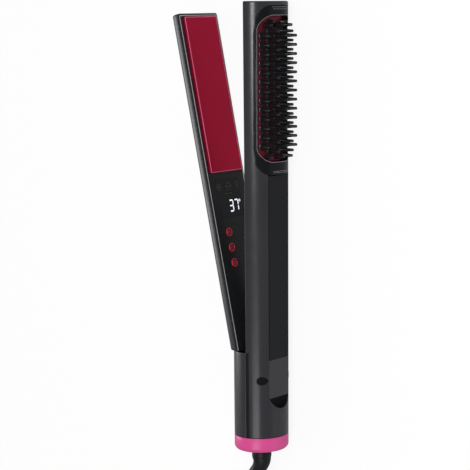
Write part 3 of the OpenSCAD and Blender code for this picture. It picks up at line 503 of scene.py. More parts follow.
around, fillet = full_turn(128), quarter_turn(9)
ring_inset = np.r_[3.3, RING_ROUND * (1 - np.sin(fillet)), 0.0, 0.0, 0.08, 0.3, 2.0, 2.0]
ring_z = np.r_[0.0, 3.2 * (1 - np.cos(fillet)), 6.5, 9.7, 9.92, RING_HIGH, RING_HIGH, 2.6]
bore = turned([(2.6, BORE_R), (0.25, BORE_R), (0.0, BORE_R + 0.3)], 128)
ring_grid = np.concatenate([bore, oval(around, ring_z[:, None], ring_inset[:, None])])
pink = moulded("pink_ring", (204, 70, 136), 0.32, smudge=0.08, grain=1600.0)
ring = piece("end_ring_band", "main", pink, [ring_grid], wrap=(True, True))
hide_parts("end_ring")
wells = piece("screw_well_cutter", "main", pink,
              [turned([[-1, 0], [-1, WELL_R], [WELL_DEEP, WELL_R], [WELL_DEEP, 0]], 40)
               + (0, side * WELL_OUT, 0) for side in (-1, 1)])
cut = ring.modifiers.new("wells", "BOOLEAN")
cut.operation, cut.object, cut.solver = "DIFFERENCE", wells, "EXACT"
settle(ring)
bpy.data.objects.remove(wells)

# ---- handle and arm shells
# Two ABS shells sprayed in dark graphite with a fine metallic fleck. The front one runs from
# the ring to the tip and is cut for the tank panel, the thumb notch and the brush bed.
RIM_Z, SEAM_LOW, SEAM_HIGH = 68.0, 3.9, 1.7
NOTCH_R, NOTCH_Z, NOTCH_HALF, PANEL_LOW, PANEL_HALF = 11.1, 40.6, 10.5, 37.0, 10.8
BED_LOW, BED_HIGH, BED_HALF, BED_CORNER, BED_BULGE = 186.5, 297.1, 17.0, 9.0, 0.6
BULGE_LOW, BULGE_HIGH, BULGE_EASE = 197.0, 287.0, 8.0
SHELL_WALL, SHELL_LIP, SHELL_LOW, TIP_ROUND = 1.8, 0.5, RING_HIGH + 0.15, 1.2


def eased(n, pull=0.92):
    """n numbers from 0 to 1 that crowd towards both ends: t - pull sin(2 pi t) / 2 pi."""
    t = np.linspace(0, 1, n)
    return t - pull * np.sin(2 * np.pi * t) / (2 * np.pi)


def lip(d, r):
    """How deep a rounded edge of radius r has dropped at distance d from the edge."""
    d = np.clip(d, 0, r)
    return r - np.sqrt(r * r - (r - d) ** 2)


def bed_half(z):
    """Half width of the brush bed, a little wider along its middle."""
    return BED_HALF + BED_BULGE * (smoothly((z - BULGE_LOW) / BULGE_EASE)
                                   * smoothly((BULGE_HIGH - z) / BULGE_EASE))


def box_distance(y, z, half, low, high, r):
    """Distance outside a rectangle with rounded corners, centred on y = 0."""
    q = np.abs(y) - (half - r)
    p = np.abs(z - (low + high) / 2) - ((high - low) / 2 - r)
    return (np.hypot(np.maximum(q, 0), np.maximum(p, 0)) + np.minimum(np.maximum(q, p), 0) - r)


def cut_distance(y, z):
    """Distance from a point of the front shell to the nearest edge of its cut-outs."""
    notch = np.where(z < PANEL_LOW, np.hypot(y, z - NOTCH_Z) - NOTCH_R, 99.0)
    panel = box_distance(y, z, PANEL_HALF, PANEL_LOW, BED_LOW + 4, 0.01)
    bed = box_distance(y, z, bed_half(z), BED_LOW, BED_HIGH, BED_CORNER)
    return np.minimum(np.minimum(notch, panel), bed)


def shell_rows():
    """Rows of the front shell: height, where the cut-out and the seam stand, tip rounding, cap."""
    rows = []

    def add(z, cut=0.0, seam=SEAM_HIGH, inset=0.0, cap=1.0):
        rows.append(np.stack(np.broadcast_arrays(z, cut, seam, inset, cap), -1).reshape(-1, 5))

    def span(a, b, n, pull=0.92):
        return (a + (b - a) * eased(n, pull))[:-1]

    add(span(SHELL_LOW, NOTCH_Z - NOTCH_R, 26), 0.0, SEAM_LOW)
    a = np.linspace(0, math.asin(NOTCH_HALF / NOTCH_R), 16)
    add(NOTCH_Z - NOTCH_R * np.cos(a), NOTCH_R * np.sin(a), SEAM_LOW)
    add(span(PANEL_LOW + 0.1, RIM_Z, 26), PANEL_HALF, SEAM_LOW)
    add(np.array([RIM_Z]), PANEL_HALF, SEAM_LOW)
    corner = math.asin((PANEL_HALF - (BED_HALF - BED_CORNER)) / BED_CORNER)
    low_corner = BED_LOW + BED_CORNER - BED_CORNER * math.cos(corner)
    add(span(RIM_Z + 0.05, low_corner, 60), PANEL_HALF)
    a = np.linspace(corner, np.pi / 2, 14)
    add(BED_LOW + BED_CORNER * (1 - np.cos(a)), BED_HALF - BED_CORNER * (1 - np.sin(a)))
    z = np.linspace(BED_LOW + BED_CORNER, BED_HIGH - BED_CORNER, 46)[1:-1]
    add(z, bed_half(z))
    a = quarter_turn(14)
    add(BED_HIGH - BED_CORNER * (1 - np.sin(a)), BED_HALF - BED_CORNER * (1 - np.cos(a)))
    add(span(BED_HIGH + 0.05, TIP_Z - TIP_ROUND, 12))
    a = quarter_turn(7)
    inset = TIP_ROUND * (1 - np.cos(a))
    add(TIP_Z - TIP_ROUND * (1 - np.sin(a)), 0.0, SEAM_HIGH, inset)
    add(np.full(4, TIP_Z), 0.0, SEAM_HIGH, TIP_ROUND, np.array([0.8, 0.5, 0.2, 0.0]))
    return np.vstack(rows)


z, cut_at, seam, inset, cap = (c[:, None] for c in shell_rows().T)
deep, wide = HALF_DEEP - inset, half_wide(z) - inset
seam_a = np.arccos(seam / deep)
a = seam_a + (np.arcsin(cut_at / wide) - seam_a) * eased(72)[None]
x, y = deep * np.cos(a), wide * np.sin(a)
edge = np.minimum((seam_a - a) * HALF_DEEP, cut_distance(y, z))
edge = np.minimum(edge, z - SHELL_LOW)
edge = np.where((z > RIM_Z) & (x < SEAM_LOW), np.minimum(edge, z - RIM_Z), edge)
drop = lip(edge, SHELL_LIP)
out = unit(xyz(np.cos(a) / deep, np.sin(a) / wide, 0))
front = xyz(x, y, z) - drop[..., None] * out
pole = np.array([SEAM_HIGH, 0, TIP_Z])
front = pole + (front - pole) * cap[..., None]
graphite = moulded("graphite_paint", (46, 46, 50), 0.24, shade=0.06, grain=2600.0, bump=0.1)
front_shell = piece("front_shell_skin", "main", graphite, [front, front * (1, -1, 1)],
                    wrap=(False, False), wall=SHELL_WALL, about=4.0)
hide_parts("main_shell")

rear_z = (SHELL_LOW + (RIM_Z - SHELL_LOW) * eased(40))[:, None]
start = math.acos((SEAM_HIGH - 0.05) / HALF_DEEP)
rear_a = (start + (2 * np.pi - 2 * start) * eased(140, 0.9))[None]
edge = np.minimum(np.minimum(rear_a - start, 2 * np.pi - start - rear_a) * HALF_DEEP,
                  np.minimum(rear_z - SHELL_LOW, RIM_Z - rear_z))
rear = oval(rear_a, rear_z, lip(edge, SHELL_LIP))
rear_skin = piece("rear_shell_skin", "main", graphite, [rear], wrap=(False, False),
                  wall=SHELL_WALL, about=0.0)
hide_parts("rear_shell")

# ---- hinge plugs
# Two black plugs pressed over the ends of the hinge pin. They follow the oval of the shell and
# are dished in the middle.
HINGE_X, HINGE_Z, PLUG_R = 11.5, 49.5, 2.87
PLUG_DISH, PLUG_ROUND, PLUG_PROUD, PLUG_DEEP = 0.08, 0.25, 0.13, 0.7
satin_black = moulded("satin_black", (22, 23, 25), 0.4, shade=0.1, grain=1500.0, bump=0.12,
                      Specular_IOR_Level=0.25)
plug_black = moulded("hinge_plug_black", (14, 14, 16), 0.6, shade=0.1, grain=1500.0, bump=0.1,
                     Specular_IOR_Level=0.1)
for side, name in ((-1, "upper"), (1, "lower")):
    r = PLUG_R * np.r_[0, np.linspace(0.12, 0.86, 10), 0.9, 0.94, 0.97, 0.99, 1, 1][:, None]
    down = (PLUG_DISH * smoothly((0.8 - r / PLUG_R) / 0.25) + lip(PLUG_R - r, PLUG_ROUND)
            - PLUG_PROUD)
    down[-1] += PLUG_DEEP
    a = full_turn(48)[None]
    px, pz = HINGE_X + r * np.cos(a), HINGE_Z + r * np.sin(a)
    deep, wide = HALF_DEEP - down, half_wide(pz) - down
    disc = xyz(px, side * wide * np.sqrt(1 - (px / deep) ** 2), pz)
    base = 0 * disc[-1:] + (HINGE_X, disc[-1, :, 1].mean(), HINGE_Z)
    plug_disc = piece("hinge_plug_" + name, "main", plug_black,
                      [np.concatenate([disc, base])])
    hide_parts("hinge_cap_" + name)

# ---- brush bed
# Gloss black moulding let into the front shell. It carries the brush plate in a deep seat with
# round ends, and follows the oval of the body above and below it.
BRUSH_MIDDLE, BRUSH_LONG, BRUSH_HALF, BRUSH_CORNER = 243.0, 95.0, 16.2, 9.5
BRUSH_LOW, BRUSH_HIGH = BRUSH_MIDDLE - BRUSH_LONG / 2, BRUSH_MIDDLE + BRUSH_LONG / 2
CROWN_R, CROWN_X = 27.0, -14.1
SEAT_GAP, BED_GAP, SEAT_LIP, BED_LIP, BED_SKIRT, BED_BACK = 0.15, 0.1, 0.35, 0.5, 2.0, 6.0


def body_x(y, z, inset=0.0):
    """x of the oval body's front above (y, z)."""
    return (HALF_DEEP - inset) * np.sqrt(np.maximum(1 - (y / (half_wide(z) - inset)) ** 2, 0))


def crown_x(y):
    """x of the brush plate's crown above y."""
    return CROWN_X + np.sqrt(CROWN_R ** 2 - y ** 2)


def plate_line(grown):
    """Outline of the brush plate, grown by a margin."""
    half = BRUSH_HALF + grown
    return outline((-half, BRUSH_LOW - grown), (half, BRUSH_HIGH + grown), BRUSH_CORNER + grown)


def at_x(x, line):
    """Points (y, z) set at x: (x, y, z)."""
    return xyz(x, line[..., 0], line[..., 1])


seat = plate_line(SEAT_GAP)
half = BED_HALF - BED_GAP
rim = outline((-half, BED_LOW + SEAT_GAP), (half, BED_HIGH - SEAT_GAP), BED_CORNER - BED_GAP)
rim[:, 0] *= (bed_half(rim[:, 1]) - BED_GAP) / half
share = np.r_[0, 0.01, 0.02, 0.04, 0.07, 0.12, 0.2, 0.32, 0.45, 0.58, 0.7, 0.8, 0.87, 0.92, 0.95,
              0.97, 0.985, 1.0][:, None, None]
flat = seat + (rim - seat) * share
away = np.linalg.norm(rim - seat, axis=-1)[None]
drop = lip((1 - share[..., 0]) * away, SEAT_LIP) + lip(share[..., 0] * away, BED_LIP)
top = at_x(body_x(flat[..., 0], flat[..., 1]) - drop, flat)
wall_in = at_x(crown_x(seat[:, 0]) - 0.5, seat)
wall_mid = at_x((top[0, :, 0] + wall_in[:, 0]) / 2, seat)
wall_out = at_x(np.maximum(top[-1, :, 0] - BED_SKIRT, BED_BACK), rim)
bed_grid = np.concatenate([wall_in[None], wall_mid[None], top, wall_out[None]])
gloss_black = moulded("gloss_black", (20, 21, 23), 0.18, shade=0.08, smudge=0.12, grain=500.0,
                      Specular_IOR_Level=0.22)
bed = piece("brush_bed", "main", gloss_black, [bed_grid], wrap=(True, True))
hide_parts("bed_cover")


def round_again(line):
    """A closed line with its first point put last too."""
    return np.concatenate([line, line[:1]])


def bead(path, radius):
    """Thin round line raised on a face that looks along x: path + radius (cos a across + sin a x),
    closed at both ends or on itself."""
    ring = np.allclose(path[0], path[-1])
    along = np.gradient(path, axis=0)
    if ring:
        along[0] = along[-1] = path[1] - path[-2]
    up = 0 * path + (1, 0, 0)
    line = rings(path, radius, np.cross(unit(along), up), up, 10)
    return line if ring else capped(path, line)


# Light grey beads round the seat's lip and in two pairs across the bed's ends are painted
# highlights where the gloss black edges catch the light.
painted_highlight_grey = moulded("edge_painted_highlight", (150, 152, 158), 0.3, shade=0.06, Metallic=0.4)
SEAT_BEAD_R, BEAD_R, BEAD_SUNK = 0.2, 0.16, 0.12
lines = [(round_again(plate_line(0.35)), SEAT_BEAD_R)]
for high, reach in ((188.2, 7.6), (189.1, 7.6), (294.8, 7.2), (296.1, 7.8)):
    y = np.linspace(-reach, reach, 24)
    lines.append((np.stack([y, high + 0 * y], -1), BEAD_R))
piece("brush_bed_painted_highlights", "main", painted_highlight_grey,
      [bead(at_x(body_x(line[:, 0], line[:, 1], BEAD_SUNK), line), r) for line, r in lines])

# ---- brush plate
# Crowned aluminium plate with a dark red ceramic coating, heated from behind. Each pin comes
# through a hole in it, and it lies deep in its seat. Its red is darker than the straightening
# plates' partly as painted shade, and painted shade darkens it further from its rim to the middle.
PLATE_ROUND, PAINTED_SHADE_FROM, PAINTED_SHADE_TO, PAINTED_SHADE_LEFT = 0.4, 2.6, 5.5, 0.22
plate_a = quarter_turn(12)
pz = np.r_[BRUSH_LOW + BRUSH_CORNER * (1 - np.cos(plate_a)),
           np.linspace(BRUSH_LOW + BRUSH_CORNER, BRUSH_HIGH - BRUSH_CORNER, 30)[1:-1],
           BRUSH_HIGH - BRUSH_CORNER * (1 - np.sin(plate_a))][:, None]
past = np.maximum(np.abs(pz - BRUSH_MIDDLE) - BRUSH_LONG / 2 + BRUSH_CORNER, 0)
half = BRUSH_HALF - BRUSH_CORNER + np.sqrt(np.maximum(BRUSH_CORNER ** 2 - past ** 2, 0))
py = half * (2 * eased(41, 0.9)[None] - 1)
edge = -box_distance(py, pz, BRUSH_HALF, BRUSH_LOW, BRUSH_HIGH, BRUSH_CORNER)
plate_grid = xyz(crown_x(py) - lip(edge, PLATE_ROUND), py, pz)
brush_coat_painted_shade = moulded("brush_plate_coating_painted_shade", (112, 6, 38), 0.45, shade=0.1, grain=1200.0, bump=0.1,
                     Metallic=0.3)
brush_red = piece("brush_plate_crown", "main", brush_coat_painted_shade, [plate_grid], wrap=(False, False),
                  wall=1.2, about=CROWN_X)
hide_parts("brush_plate")
at = np.empty(3 * len(brush_red.data.vertices))
brush_red.data.vertices.foreach_get("co", at)
at = at.reshape(-1, 3) * 1000
rim = -box_distance(AXIS_HEIGHT - at[:, 2], at[:, 1] + TOOL_MIDDLE_Z, BRUSH_HALF, BRUSH_LOW,
                    BRUSH_HIGH, BRUSH_CORNER)
painted_shade_rim = brush_red.data.attributes.new("from_rim", "FLOAT", "POINT")
painted_shade_rim.data.foreach_set("value", rim)
# Painted shade: the coating's colour darkens from the rim towards the middle, for the shade of the
# pins.
t = brush_coat_painted_shade.node_tree
distance = node(t, "Attribute", attribute_name="from_rim").outputs["Fac"]
shade = node(t, "MapRange", {"Value": distance, "From Min": PAINTED_SHADE_FROM, "From Max": PAINTED_SHADE_TO,
                             "To Min": 1.0, "To Max": PAINTED_SHADE_LEFT})
effect = next(n for n in t.nodes if n.type == "GROUP")
tint = node(t, "VectorMath", {0: effect.outputs["Color"], "Scale": shade}, operation="SCALE")
feed(t, t.nodes["Principled BSDF"], {"Base Color": tint})

# ---- brush pins
# Seventy-five stiff black nylon pins, moulded through the plate in one piece with a strip behind
# it, each full-length pin with a collar on the plate. They fan out in five columns and taper to
# round tips that don't scratch the scalp.
PIN_ROWS, PIN_PITCH, PIN_FAN, PIN_LONG = 15, 6.0, 12.5, 9.7
END_SHARE, END_FAN, END_SHIFT, LAST_SHARE = 0.78, 0.75, 1.0, 0.55
TIP_R, PLAIN_ROOT_R = 0.95, 1.75
row = np.arange(PIN_ROWS)
end = (row == PIN_ROWS - 1) * 1.0 - (row == 0)
row_z = BRUSH_MIDDLE + (row - (PIN_ROWS - 0.5) / 2) * PIN_PITCH
pins = [xyz(np.radians(column * PIN_FAN * np.where(end == 0, 1, END_FAN)), row_z + end * END_SHIFT,
            np.where(end == 0, 1, END_SHARE)) for column in (-2, 0, 2)]
pins += [xyz(np.radians(column * PIN_FAN), row_z + PIN_PITCH / 2,
             np.where(row == PIN_ROWS - 1, LAST_SHARE, 1)) for column in (-1, 1)]
pins = np.vstack(pins)
ball = np.linspace(0.25, np.pi / 2, 5)
pin_h = np.r_[-0.9, -0.9, 0.05, 0.3, 0.5, 0.75, 2.0, 3.5, 5.0, 6.5, 7.8,
              PIN_LONG - TIP_R + TIP_R * np.sin(ball)]
pin_r = np.r_[0.0, 2.55, 2.7, 2.6, 2.35, 1.95, 1.62, 1.4, 1.22, 1.08, 0.98, 0.99 * np.cos(ball)]
a = full_turn(16)
pin_r = np.where(pins[:, 2:] == 1, pin_r, np.minimum(pin_r, PLAIN_ROOT_R))
lean, height, share = pins.T[:, :, None, None]
h = pin_h[:, None]
h = h + np.maximum((h - 1) / (PIN_LONG - 1), 0) * PIN_LONG * (share - 1)
u, v = pin_r[:, :, None] * np.cos(a), pin_r[:, :, None] * np.sin(a)
reach = CROWN_R + h
pin_grid = xyz(CROWN_X + reach * np.cos(lean) - u * np.sin(lean),
               reach * np.sin(lean) + u * np.cos(lean), height + v)
nylon = moulded("pin_nylon", (26, 26, 29), 0.34, shade=0.1, bump=0.08)
brush_pins = piece("brush_pin_set", "main", nylon, list(pin_grid))
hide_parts("brush_pins")

# ---- tank panel
# The water tank lifts out of the handle's front. Its face is a flat panel: gloss black over the
# tank and grey below it, over the hinge pin.


def slab(half, low, high, corner, back, face, edge, n=5):
    """Closed rounded block facing x: outlines carried from the back's middle, out over its edge,
    along the sides, over an edge rounded by edge, and back in to the middle of the face."""
    sign = 1 if face > back else -1
    steps = [(half - 1e-3, back), (0.3, back), (0.0, back + sign * 0.1)]
    steps += [(edge * (1 - math.cos(b)), face - sign * edge * (1 - math.sin(b)))
              for b in quarter_turn(n)]
    steps += [(edge + 0.35, face), (half * 0.5, face), (half - 1e-3, face)]
    return np.stack([at_x(depth, outline((inset - half, low + inset), (half - inset, high - inset),
                                         max(corner - inset, 0.02))) for inset, depth in steps])


PANEL_FACE, PANEL_TOP, WINDOW_LOW, PANEL_BACK, PANEL_WIDE = 14.9, 186.2, 63.0, 13.9, 10.5
tank_window = piece("tank_window_panel", "tank", gloss_black,
                    [slab(PANEL_WIDE, WINDOW_LOW, PANEL_TOP, 0.4, PANEL_BACK, PANEL_FACE, 0.25)])
piece("tank_window_back", "tank", satin_black,
      [slab(PANEL_WIDE - 0.5, 67, 185.2, 0.4, 12.6, PANEL_BACK + 0.02, 0.1)])
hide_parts("tank_window")
panel_grey = moulded("panel_grey", (56, 55, 60), 0.42, smudge=0.08, grain=2600.0, bump=0.1,
                     Specular_IOR_Level=0.35)
tank_foot = piece("tank_foot_panel", "tank", panel_grey,
                  [slab(PANEL_WIDE, PANEL_LOW, WINDOW_LOW - 0.05, 0.3, PANEL_BACK, PANEL_FACE,
                        0.15)])
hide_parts("tank_foot")
# Light grey beads along the shell's edges beside the panel are painted highlights.
edge_z = np.linspace(RIM_Z + 1, BED_LOW - 1.5, 50)
edge_y = PANEL_HALF + 0.3
piece("panel_edge_painted_highlights", "main", painted_highlight_grey,
      [bead(xyz(body_x(y, edge_z, 0.2), y, edge_z), BEAD_R) for y in (-edge_y, edge_y)])

# ---- thumb notch
# Half-moon hollow below the panel that a thumbnail reaches into to lift the tank out. Its
# near-black matt lining is painted shade for the dark of the hollow.
INSERT_R, NOTCH_SUNK, NOTCH_FLOOR, NOTCH_SLOPE = NOTCH_R - 0.1, 0.45, 14.35, 0.8
a = np.linspace(0, math.asin(NOTCH_HALF / NOTCH_R), 20)[:, None]
nz = NOTCH_Z - INSERT_R * np.cos(a)
ny = INSERT_R * np.sin(a) * (2 * eased(41, 0.95) - 1)
inner = INSERT_R - np.hypot(ny, nz - NOTCH_Z)
skin = body_x(ny, nz, NOTCH_SUNK)
notch = xyz(skin - (skin - NOTCH_FLOOR) * smoothly(inner / NOTCH_SLOPE), ny, nz)
# The lining's near-black is painted shade.
thumb = piece("thumb_notch_dish", "main", plug_black, [notch], wrap=(False, False), wall=0.5,
              about=0.0)
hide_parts("thumb_notch")

# ---- clamp arm
# The moving arm: a graphite shell with a rounded back and a flat black cover on the inside. It
# swings on the hinge pin and rests open at twelve degrees.
OPEN = math.radians(12)
CLAMP_X, CLAMP_DEEP, CLAMP_POWER, CLAMP_WALL = -0.7, 11.4, 2.6, 1.6
CLAMP_FOOT, SPLIT_X, CLAMP_LIP, CLAMP_REACH = RIM_Z + 0.5, CLAMP_X - 1.45, 0.3, 12.0


def swing(p):
    """Turns points of the closed clamp arm about the hinge to where it rests."""
    dx, dz = p[..., 0] - HINGE_X, p[..., 2] - HINGE_Z
    return xyz(HINGE_X + dx * math.cos(OPEN) - dz * math.sin(OPEN), p[..., 1],
               HINGE_Z + dx * math.sin(OPEN) + dz * math.cos(OPEN))


def foot_z(x):
    """Height, on the closed arm, of the cut across its lower end, level when it rests open."""
    return HINGE_Z + (CLAMP_FOOT - HINGE_Z - (x - HINGE_X) * math.sin(OPEN)) / math.cos(OPEN)


def clamp_skin(wall, top):
    """One skin of the arm's back, set in by wall: x = split - depth sin^(2/p), y = half width
    cos^(2/p), in rows from the slanted foot to the tip, rounded over and closed at a pole."""
    depth = CLAMP_DEEP - wall
    t0 = math.asin(((CLAMP_X - SPLIT_X) / depth) ** (CLAMP_POWER / 2))
    t = t0 + (np.pi - 2 * t0) * eased(120, 0.9)[None]
    up = np.r_[eased(60), 1 + np.linspace(0, 1, 7)[1:], 3, 4, 5, 6][:, None]
    turn = np.clip(up - 1, 0, 1) * np.pi / 2
    edge_r = TIP_ROUND if wall == 0 else CLAMP_LIP
    inset = edge_r * (1 - np.cos(turn))
    s, c = np.sin(t), np.cos(t)
    x = np.minimum(CLAMP_X - (depth - inset) * s ** (2 / CLAMP_POWER), SPLIT_X)
    z = foot_z(x) + (top - edge_r - foot_z(x)) * np.clip(up, 0, 1) + edge_r * np.sin(turn)
    y = (half_wide(z) - wall - inset) * np.sign(c) * np.abs(c) ** (2 / CLAMP_POWER)
    edge = np.minimum(np.minimum(t - t0, np.pi - t0 - t) * CLAMP_REACH, z - foot_z(x))
    drop = lip(edge, CLAMP_LIP) if wall == 0 else 0 * edge
    grid = xyz(x + drop * s, y - drop * c * 0.9, z)
    cap = np.select([up >= 6, up >= 5, up >= 4, up >= 3], [0.0, 0.3, 0.6, 0.85], 1.0)[..., None]
    pole = np.array([SPLIT_X, 0, top])
    return pole + (grid - pole) * cap


def walled(outer, inner):
    """The grids of a skin with a thickness: outside, inside, and strips that join their foot and
    both sides."""
    return [outer, inner, np.stack([outer[0], inner[0]]), np.stack([outer[:, 0], inner[:, 0]]),
            np.stack([outer[:, -1], inner[:, -1]])]


clamp_shell = piece("clamp_shell_skin", "clamp", graphite,
                    [swing(g) for g in walled(clamp_skin(0.0, TIP_Z),
                                              clamp_skin(CLAMP_WALL, TIP_Z - CLAMP_WALL))],
                    wrap=(False, False))
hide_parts("clamp_shell")

# ---- cover edge
# Fine rounded edge of the clamp arm's black cover, all the way round, coloured light grey as a
# painted highlight where it catches the light.
EDGE_IN, EDGE_R, EDGE_CORNER = 1.0, 0.3, 1.0
up_z = np.linspace(foot_z(CLAMP_X) + 0.4, TIP_Z - 2.4, 60)
side_y = half_wide(up_z) - EDGE_IN
turn = quarter_turn(7)[1:]
half_path = np.stack([np.r_[side_y, side_y[-1] - EDGE_CORNER * (1 - np.cos(turn))],
                      np.r_[up_z, up_z[-1] + EDGE_CORNER * np.sin(turn)]], -1)
path = at_x(CLAMP_X - 0.05, np.vstack([half_path * (-1, 1), half_path[::-1]]))
painted_highlight_white = moulded("cover_edge_painted_highlight", (205, 207, 212), 0.36, Metallic=0.5)
piece("clamp_cover_edge_highlight", "clamp", painted_highlight_white, [swing(bead(path, EDGE_R))])

# ---- straightening plates
# Two aluminium plates with a red ceramic coating, their edges rounded so that hair slides over
# them. Each floats on silicone pads in its arm.
CLAMP_PLATE, CLAMP_BACKING = (16.5, 191.7, 297.4), (17.3, 191.1, 297.9)
MAIN_PLATE, MAIN_BACKING = (15.9, 192.3, 296.8), (16.7, 191.7, 297.3)
CLAMP_FACE, CLAMP_BACK, MAIN_FACE, MAIN_BACK = 1.3, -2.15, 1.6, 3.45
PLATE_SOFT, BACKING_THICK, PLATE_EDGE, PLATE_BEAD_R = 0.7, 1.1, 0.27, 0.3
red_coat = moulded("red_plate_coating", (203, 3, 62), 0.34, shade=0.04, smudge=0.06, grain=1200.0,
                   bump=0.06, Metallic=0.85, Coat_Weight=0.12, Coat_Roughness=0.25)
clamp_plate = piece("clamp_plate_face", "clamp_plate", red_coat,
                    [swing(slab(*CLAMP_PLATE, PLATE_SOFT, CLAMP_BACK, CLAMP_FACE, PLATE_SOFT, 7)),
                     swing(slab(*CLAMP_BACKING, 0.6, CLAMP_BACK - BACKING_THICK,
                                CLAMP_BACK - 0.01, 0.1))])
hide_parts("clamp_plate")
main_plate = piece("main_plate_face", "main_plate", red_coat,
                   [slab(*MAIN_PLATE, PLATE_SOFT, MAIN_BACK, MAIN_FACE, PLATE_SOFT, 7),
                    slab(*MAIN_BACKING, 0.6, MAIN_BACK + BACKING_THICK, MAIN_BACK + 0.01, 0.1)])
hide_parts("main_plate")
# Pink beads round each plate's face are painted highlights on its rounded edge.
painted_highlight_pink = moulded("plate_edge_painted_highlight", (252, 122, 160), 0.36, smudge=0.08, Metallic=0.5)
for rides, size, x, placed in (("clamp_plate", CLAMP_PLATE, CLAMP_FACE - PLATE_EDGE, swing),
                               ("main_plate", MAIN_PLATE, MAIN_FACE + PLATE_EDGE, np.array)):
    half, low, high = size
    half -= PLATE_EDGE
    rim = round_again(outline((-half, low + PLATE_EDGE), (half, high - PLATE_EDGE), 0.5))
    piece(rides + "_edge", rides, painted_highlight_pink, [placed(bead(at_x(x, rim), PLATE_BEAD_R))])

# ---- display
# Tinted window let into the cover, over a module of white segments. Lit segments show the
# temperature; the icons above them are printed faintly.
WINDOW = (12.3, 160.7, 186.8)
window_black = moulded("window_tint", (31, 32, 34), 0.2, shade=0.03, smudge=0.06, grain=300.0,
                       bump=0.02, Specular_IOR_Level=0.2)
window = piece("display_window_pane", "clamp", window_black,
               [swing(slab(*WINDOW, 1.2, -1.25, -0.75, 0.12))])
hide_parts("display_window")

DIGIT_WIDE, DIGIT_HIGH, SEGMENT_HALF, DIGIT_LEAN, SEGMENT_GAP = 4.6, 8.3, 0.48, 0.06, 0.14
DIGIT_LOW, DIGITS_Y, PRINT = 164.1, (-1.7, 3.7), (-0.74, -0.70)
digits_lit = bpy.data.materials.new("digits_lit")
digits_lit.use_nodes = True
t = digits_lit.node_tree
uneven = node(t, "TexNoise", {"Vector": node(t, "TexCoord").outputs["Object"], "Scale": 700.0})
glow = node(t, "MixRGB", {"Fac": uneven, "Color1": (0.72, 0.78, 0.95, 1),
                          "Color2": (0.95, 0.97, 1.0, 1)})
feed(t, t.nodes["Principled BSDF"], {"Emission Color": glow, "Emission Strength": 0.9,
                                     "Base Color": (0.6, 0.62, 0.68, 1), "Roughness": 0.5})


def strip(a, b, half, low=PRINT[0], high=PRINT[1]):
    """A bar from a to b with pointed ends, as a closed six-sided block."""
    a, b = np.array(a, float), np.array(b, float)
    along = unit(b - a)
    across = np.array([-along[1], along[0]])
    six = np.array([a, a + half * (along + across), b - half * (along - across), b,
                    b - half * (along + across), a + half * (along - across)])
    middle = six.mean(0)
    return np.stack([at_x(x, middle + (six - middle) * share)
                     for x, share in ((low, 0.0), (low, 1.0), (high, 1.0), (high, 0.0))])


def digit(bars, y):
    """One seven-segment figure: top, upper and lower right, bottom, lower and upper left, bar."""
    w, h, s = DIGIT_WIDE, DIGIT_HIGH, SEGMENT_HALF
    spots = [((s, h - s), (w - s, h - s)), ((w - s, h - s), (w - s, h / 2)),
             ((w - s, h / 2), (w - s, s)), ((s, s), (w - s, s)), ((s, h / 2), (s, s)),
             ((s, h - s), (s, h / 2)), ((s, h / 2), (w - s, h / 2))]
    made = []
    for lit, (p, q) in zip(bars, spots):
        if lit == "1":
            gap = SEGMENT_GAP * unit(np.subtract(q, p))
            bar = strip(p + gap, q - gap, s)
            bar[..., 1] += bar[..., 2] * DIGIT_LEAN
            made.append(bar + (0, y, DIGIT_LOW))
    return made


def ring_strip(y, z, r, half, low=PRINT[0], high=PRINT[1]):
    """A flat ring on the cover, centred on (y, z): its section's corners turned about x."""
    corners = [(low, r - half), (low, r + half), (high, r + half), (high, r - half),
               (low, r - half)]
    return turned(corners, 28)[..., [2, 0, 1]] + (0, y, z)


figures = digit("1111001", DIGITS_Y[0]) + digit("1110000", DIGITS_Y[1])
digits = piece("display_figures", "clamp", digits_lit,
               [swing(g) for g in figures + [ring_strip(10.1, 171.1, 0.7, 0.22)]])
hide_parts("display_digits")

icon_grey = moulded("icon_print", (62, 64, 68), 0.5, smudge=0.12, grain=800.0)
ICON_HALF, WAVE_LOW, WAVE_HIGH, WAVE_STEP, WAVE_SWAY = 0.22, 178.6, 180.9, 1.9, 0.35
corners = [(1.0, 184.7), (-2.3, 181.4), (4.3, 181.4), (1.0, 184.7)]
wave_z = np.linspace(WAVE_LOW, WAVE_HIGH, 7)
sway = 1.0 + WAVE_SWAY * np.sin((wave_z - WAVE_LOW) * 2.7)
waves = [list(zip(sway + k * WAVE_STEP, wave_z)) for k in (-1, 0, 1)]
icons = [strip(p, q, ICON_HALF) for line in [corners, *waves] for p, q in zip(line, line[1:])]
icons += [ring_strip(-9.6, 181.6, 2.1, ICON_HALF), ring_strip(-9.6, 181.6, 0.6, 0.3),
          strip((-4.6, 176.7), (-0.6, 176.7), 0.24), strip((0.6, 176.7), (3.8, 176.7), 0.24),
          ring_strip(10.2, 182.6, 1.3, ICON_HALF), strip((10.2, 179.0), (10.2, 181.0), ICON_HALF)]
piece("display_icons", "clamp", icon_grey, [swing(g) for g in icons])

